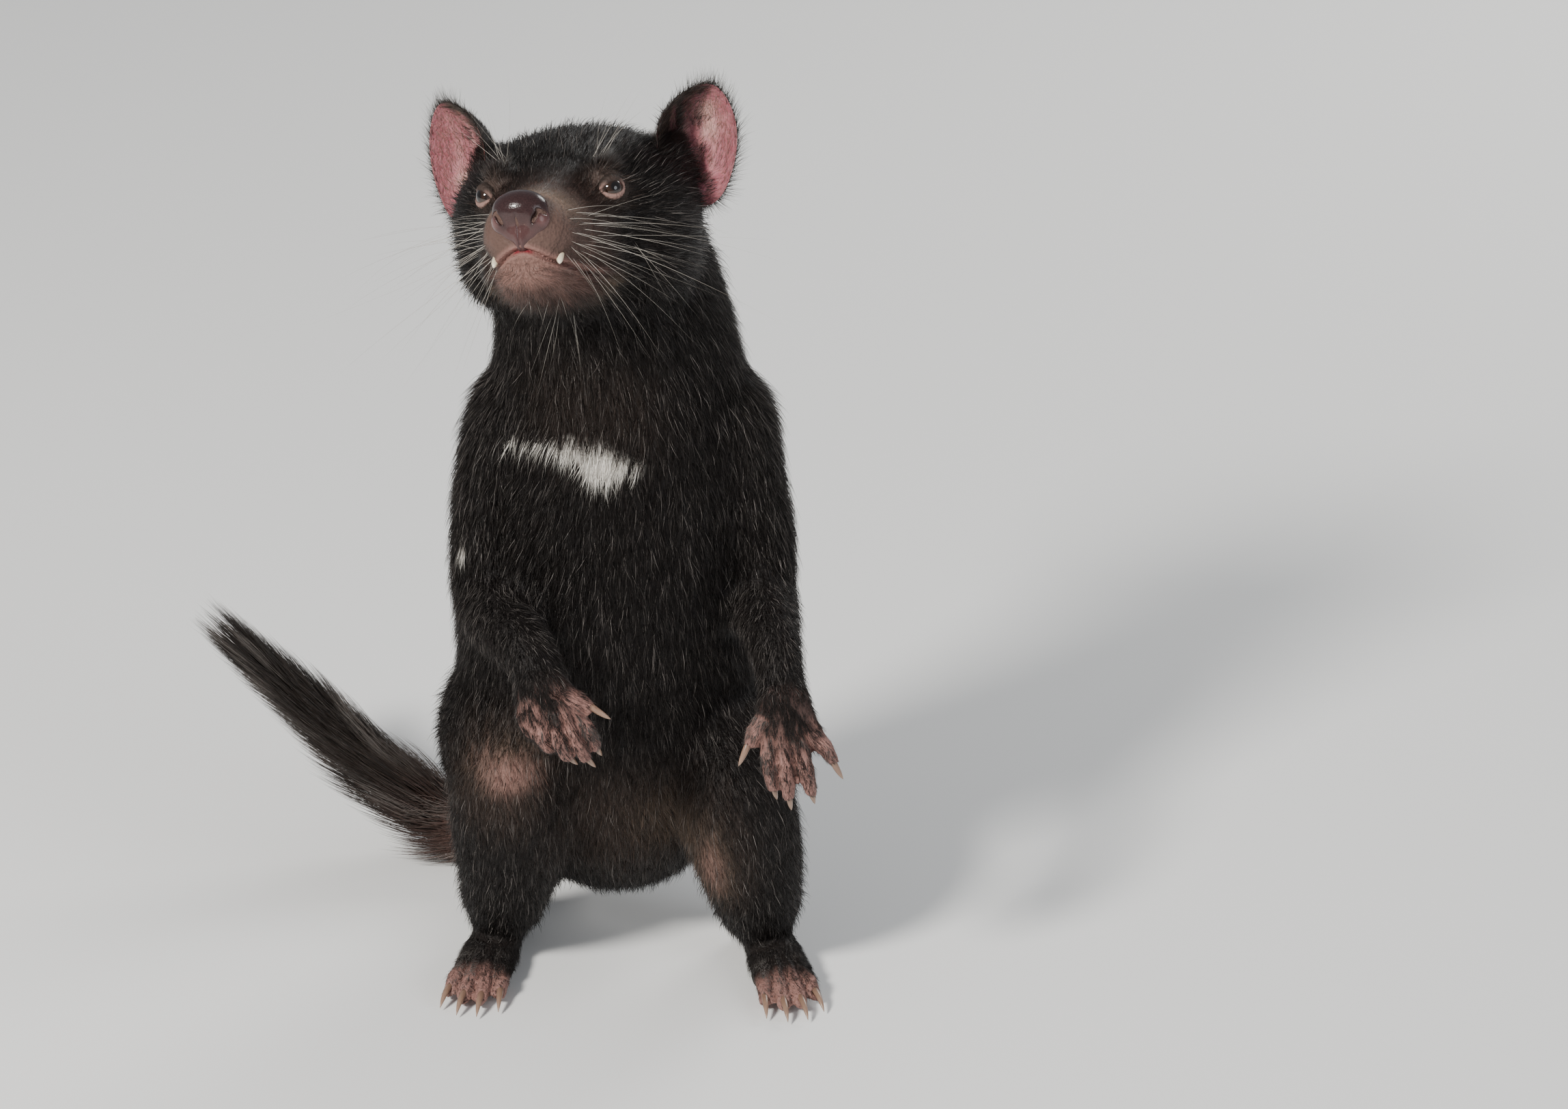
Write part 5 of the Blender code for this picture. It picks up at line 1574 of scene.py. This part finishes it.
def horn_shape(nodes, name, girth, reach=1.0):
    """Each solid of a claw or tooth again, finer: rings along its own line, from root to tip.

    The line runs from the middle of the solid's thicker end towards the other, as far as reach
    says, and bows as the solid does. Its girth is how thick it is for the thicker end."""
    rows = []
    for solid in nodes:
        points = positions(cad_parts[solid].data)
        centre = points.mean(0)
        _, _, axes = np.linalg.svd(points - centre, full_matrices=False)
        along = (points - centre) @ axes[0]
        long = np.ptp(along)
        ends = [points[along < along.min() + long * 0.12]]
        ends.append(points[along > along.max() - long * 0.12])
        spreads = [distance(end, end.mean(0)).mean() for end in ends]
        root, tip = (end.mean(0) for end in (ends if spreads[0] > spreads[1] else ends[::-1]))
        halfway = np.abs(along - (along.min() + along.max()) / 2) < long * 0.25
        bow = points[halfway].mean(0) - (root + tip) / 2
        t = np.linspace(0, 1, CLAW_STEPS)[:, None]
        line = root + (tip - root) * reach * t + bow * 4 * t * (1 - t)
        radius = max(spreads) * girth * (1 - 0.25 * t[:, 0] - 0.72 * t[:, 0] ** 4)
        rings, _ = rings_round(line, radius, CLAW_AROUND, axes[2], CLAW_FLAT)
        rows.append(rings)
    return tubes(name, rows, "tip")


def horn_paint(name, root, tip, roughness):
    """Horn or ivory: one colour at the root and another at the tip, with fine grain."""
    made, tree, shader = painted(name, Roughness=roughness)
    streak = noise(tree, 420.0, 3.0)
    share = maths(tree, "MULTIPLY", maths(tree, "ADD", value_of(tree, "tip"), streak), 0.62)
    inputs = {"Height": streak, "Distance": 0.0002, "Strength": 0.6}
    normal = node(tree, "ShaderNodeBump", inputs).outputs["Normal"]
    fed(tree, shader, {"Base Color": mix(tree, share, root, tip), "Normal": normal})
    return made


HORN = horn_paint("claw_horn", (0.130, 0.066, 0.048, 1), (0.28, 0.180, 0.125, 1), 0.30)
IVORY = horn_paint("canine_ivory", (0.52, 0.40, 0.24, 1), (0.74, 0.68, 0.54, 1), 0.22)
for limb in PAWS:
    names = sorted(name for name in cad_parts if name.startswith(f"claw_{limb}"))
    claws = horn_shape(names, f"claws_{limb}", 0.90)
    claws.data.materials.append(HORN)
    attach(claws, "root")
    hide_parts(*names)
teeth = horn_shape(["canine_left", "canine_right"], "canines", 1.02, 0.66)
set_positions(teeth.data, positions(teeth.data) + np.array((0, -0.0006, -TEETH_DROP)) @ HEAD_TURN.T)
teeth.data.materials.append(IVORY)
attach(teeth, "root")
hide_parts("canine_left", "canine_right")


# The tail's long hair
# Coarse hair three to five centimetres long, wet and dark, that grows from the flesh of the tail
# all round, gathers in streaks, and fans out past the end of the flesh.
TAIL_HAIRS = 6000
TAIL_STREAKS = 150
TAIL_HAIR = (0.020, 0.044, 0.040)
TAIL_LIFT = (0.0042, 0.0105, 0.0085, 0.0050)
TAIL_HAIR_WIDTH = 0.00050


def tail_hair():
    """Hairs rooted on the tail's core. Each leans towards the streak whose root is nearest.

    Along the tail and round it, near is the sum of the squares of the steps over 36 and 9. The
    hairs of some streaks are all painted pale, as a painted wet sheen."""
    draw = np.random.default_rng(31)
    rings, along = tail_rings(around=48, steps=120)
    steps, around = rings.shape[:2]
    at = draw.uniform(0.06, 0.97, TAIL_HAIRS) ** 0.85 * (steps - 1)
    turn = draw.integers(0, around, TAIL_HAIRS)
    low = np.floor(at).astype(int)
    share = (at - low)[:, None]
    root = rings[low, turn] * (1 - share) + rings[np.minimum(low + 1, steps - 1), turn] * share
    up, way = unit(root - rings[low].mean(1)), along[low]
    streak_at = draw.uniform(0, 1, TAIL_STREAKS) * (steps - 1)
    streak_turn = draw.uniform(0, around, TAIL_STREAKS)
    apart = np.abs((turn[:, None] - streak_turn + around / 2) % around - around / 2)
    near = np.argmin((at[:, None] - streak_at) ** 2 / 36.0 + apart**2 / 9.0, axis=1)
    drift = (streak_turn[near] - turn + around / 2) % around - around / 2
    # Painted sheen: these streaks are painted pale, and their strands are smoother too.
    pale = draw.random(TAIL_STREAKS) > 0.74
    part = at / (steps - 1)
    length = np.interp(part, (0.0, 0.35, 1.0), TAIL_HAIR) * draw.uniform(0.75, 1.1, TAIL_HAIRS)
    lift = np.interp(part, (0.0, 0.3, 0.8, 1.0), TAIL_LIFT)
    lift = lift * draw.uniform(0.35, 1.15, TAIL_HAIRS)
    sway = -drift / around * 0.055 + draw.normal(0, 0.0012, TAIL_HAIRS)
    bare = 0.42 * smooth_step(0.42, 0.0, part) * draw.random(TAIL_HAIRS)
    brown = (0.25 + 0.65 * smooth_step(0.9, 0.0, part)) * draw.random(TAIL_HAIRS)
    lit, dull = draw.uniform(0.84, 0.97, TAIL_HAIRS), draw.random(TAIL_HAIRS) * 0.86
    values = {"bare": bare, "brown": brown, "strand": np.where(pale[near], lit, dull)}
    roots = {"at": root, "up": up, "map": np.column_stack((part, turn / around))}
    width = TAIL_HAIR_WIDTH * draw.uniform(0.7, 1.3, TAIL_HAIRS)
    coat_piece("coat_tail_brush", roots, way, length, width, lift, sway, 4, values, WET_HAIR)


tail_hair()


# The whiskers
# Long springy bristles in rows on the upper lip, with a tuft over each eye, one on each cheek
# and two under the chin. They are pale at the root and darker towards the tip.
WHISKER_STEPS, WHISKER_AROUND = 16, 5
WHISKER_RADIUS = 0.00008
# Rows on the lip: height in the head's frame, angle over the level in degrees, length.
WHISKER_ROWS = [
    (-0.0060, 6.0, 0.076),
    (-0.0100, -2.0, 0.096),
    (-0.0145, -12.0, 0.104),
    (-0.0190, -24.0, 0.098),
    (-0.0235, -38.0, 0.082),
    (-0.0280, -54.0, 0.062),
]
WHISKER_COLUMNS = (-0.0770, -0.0715, -0.0660, -0.0600, -0.0540)
# Tufts: how many, middle, spread, way, length.
WHISKER_TUFTS = [
    (7, (0.0220, -0.0360, 0.0215), (0.0022, 0.0025, 0.0012), (0.45, -0.15, 0.95), 0.052),
    (4, (0.0400, -0.0330, -0.0180), (0.0020, 0.0030, 0.0030), (0.85, 0.05, -0.45), 0.055),
    (3, (0.0070, -0.0620, -0.0440), (0.0055, 0.0070, 0.0010), (0.12, -0.15, -0.95), 0.016),
    (3, (0.0040, -0.0250, -0.0520), (0.0035, 0.0060, 0.0010), (0.18, -0.25, -0.95), 0.038),
]


def on_skin(start, way):
    """Where a line from inside the head leaves the skin."""
    hit, place, _, _ = skin.ray_cast(Vector(start), Vector(way))
    return np.array(place) if hit else np.array(start)


def whisker_list(draw):
    """Spot, way and length of every whisker, in the head's frame: the rows, then the tufts."""
    listed = []
    for sign in (1, -1):
        for height, angle, longest in WHISKER_ROWS:
            for k, forward in enumerate(WHISKER_COLUMNS):
                spot = np.array((0.020, forward, height)) + draw.normal(0, 0.0008, 3)
                rise = math.radians(angle + draw.normal(0, 7.5))
                aim = np.array((math.cos(rise), 0.28 + draw.normal(0, 0.17), math.sin(rise)))
                reach = longest * (0.45 + 0.13 * k) * draw.uniform(0.85, 1.15)
                listed.append((spot * (sign, 1, 1), unit(aim * (sign, 1, 1)), reach))
        for count, middle_spot, spread_by, aim, longest in WHISKER_TUFTS:
            for _ in range(count):
                spot = np.array(middle_spot) + draw.uniform(-1, 1, 3) * spread_by
                aimed_at = unit((np.array(aim) + draw.normal(0, 0.28, 3)) * (sign, 1, 1))
                listed.append((spot * (sign, 1, 1), aimed_at, longest * draw.uniform(0.6, 1.2)))
    return listed


def whiskers():
    """Every whisker as a tapered tube along a line from the skin.

    At t of its length it is the root, plus the way times t times the length, less a droop of t
    squared straight down, plus 0.4 of the droop and a curl of sin(pi t) back over the head."""
    draw = np.random.default_rng(51)
    rows = []
    back = np.array((0.0, 1.0, 0.0)) @ HEAD_TURN.T
    t = np.linspace(0, 1, WHISKER_STEPS)[:, None]
    for spot, aim, reach in whisker_list(draw):
        start = from_head(spot * (0.3, 1, 0.5) + (0, 0.010, 0))
        toward = aim @ HEAD_TURN.T
        root = on_skin(start, unit(from_head(spot) - start)) - toward * 0.0008
        droop = reach * draw.uniform(0.04, 0.26) * t**2
        curl = reach * draw.normal(0, 0.07) * np.sin(np.pi * t)
        line = root + toward * reach * t - droop * np.array((0, 0, 1.0))
        line = line + back * (0.4 * droop + curl)
        radius = WHISKER_RADIUS * draw.uniform(0.55, 1.20) * (1.02 - t[:, 0] ** 1.5)
        rings, _ = rings_round(line, radius, WHISKER_AROUND, (0.3, 0.2, 1.0))
        rows.append(rings)
    return tubes("whiskers", rows, "along")


def whisker_paint():
    """Pale horn that darkens towards the tip."""
    made, tree, shader = painted("whisker", Roughness=0.25)
    colour = mix(tree, value_of(tree, "along"), (0.55, 0.51, 0.45, 1), (0.13, 0.11, 0.095, 1))
    fed(tree, shader, {"Base Color": colour})
    return made


bristle_piece = whiskers()
bristle_piece.data.materials.append(whisker_paint())
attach(bristle_piece, "root")


# The stage
# A pale studio floor under the animal, a broad soft key light from the upper left, a fill from
# the right, and a light from behind that draws the edge of the black coat.
FLOOR_HALF = 6.0
floor_mesh = bpy.data.meshes.new("floor")
corner = np.array(((-1, -1, 0), (1, -1, 0), (1, 1, 0), (-1, 1, 0))) * FLOOR_HALF
floor_mesh.from_pydata(corner, [], [(0, 1, 2, 3)])
floor = linked("floor", floor_mesh, smooth=False)
floor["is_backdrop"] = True
floor_paint, _, _ = painted("pale_floor", Base_Color=(0.84, 0.84, 0.83, 1), Roughness=0.9)
floor_mesh.materials.append(floor_paint)

LOOK_AT = np.array((0.0855, 0.0, 0.253)) + HOME
CAMERA_DOWN = math.radians(25.0)
CAMERA_AWAY = 3.2
PIXELS_PER_METRE = 2900.0
PHOTO_WIDE = 2296
SENSOR = 36.0


def aimed(thing, place, target):
    """Stands a lamp or camera at a place and turns it to look at a target."""
    thing.location = place
    thing.rotation_mode = "QUATERNION"
    thing.rotation_quaternion = (Vector(target) - Vector(place)).to_track_quat("-Z", "Y")
    bpy.context.scene.collection.objects.link(thing)


def soft_light(name, place, size, power, colour):
    """A round lamp that looks at the animal's middle."""
    lamp = bpy.data.lights.new(name, "AREA")
    lamp.shape = "DISK"
    lamp.size = size
    lamp.energy = power
    lamp.color = colour
    aimed(bpy.data.objects.new(name, lamp), place, (0.03, 0.0, 0.25))


soft_light("key", (-1.5, -1.9, 2.1), 0.6, 136.0, (1.0, 0.97, 0.92))
soft_light("fill", (2.0, -1.6, 1.1), 1.6, 24.0, (0.93, 0.96, 1.0))
soft_light("edge", (1.3, 1.7, 1.2), 1.0, 22.0, (1.0, 0.99, 0.96))
world = bpy.data.worlds.new("studio")
world.use_nodes = True
background = world.node_tree.nodes["Background"]
fed(world.node_tree, background, {"Color": (0.92, 0.95, 1.0, 1.0), "Strength": 0.36})
bpy.context.scene.world = world

lens = bpy.data.cameras.new("camera")
lens.sensor_width = SENSOR
lens.lens = PIXELS_PER_METRE * CAMERA_AWAY / PHOTO_WIDE * SENSOR
camera = bpy.data.objects.new("camera", lens)
back = np.array((0.0, -math.cos(CAMERA_DOWN), math.sin(CAMERA_DOWN)))
aimed(camera, LOOK_AT + back * CAMERA_AWAY, LOOK_AT)
bpy.context.scene.camera = camera

low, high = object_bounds()
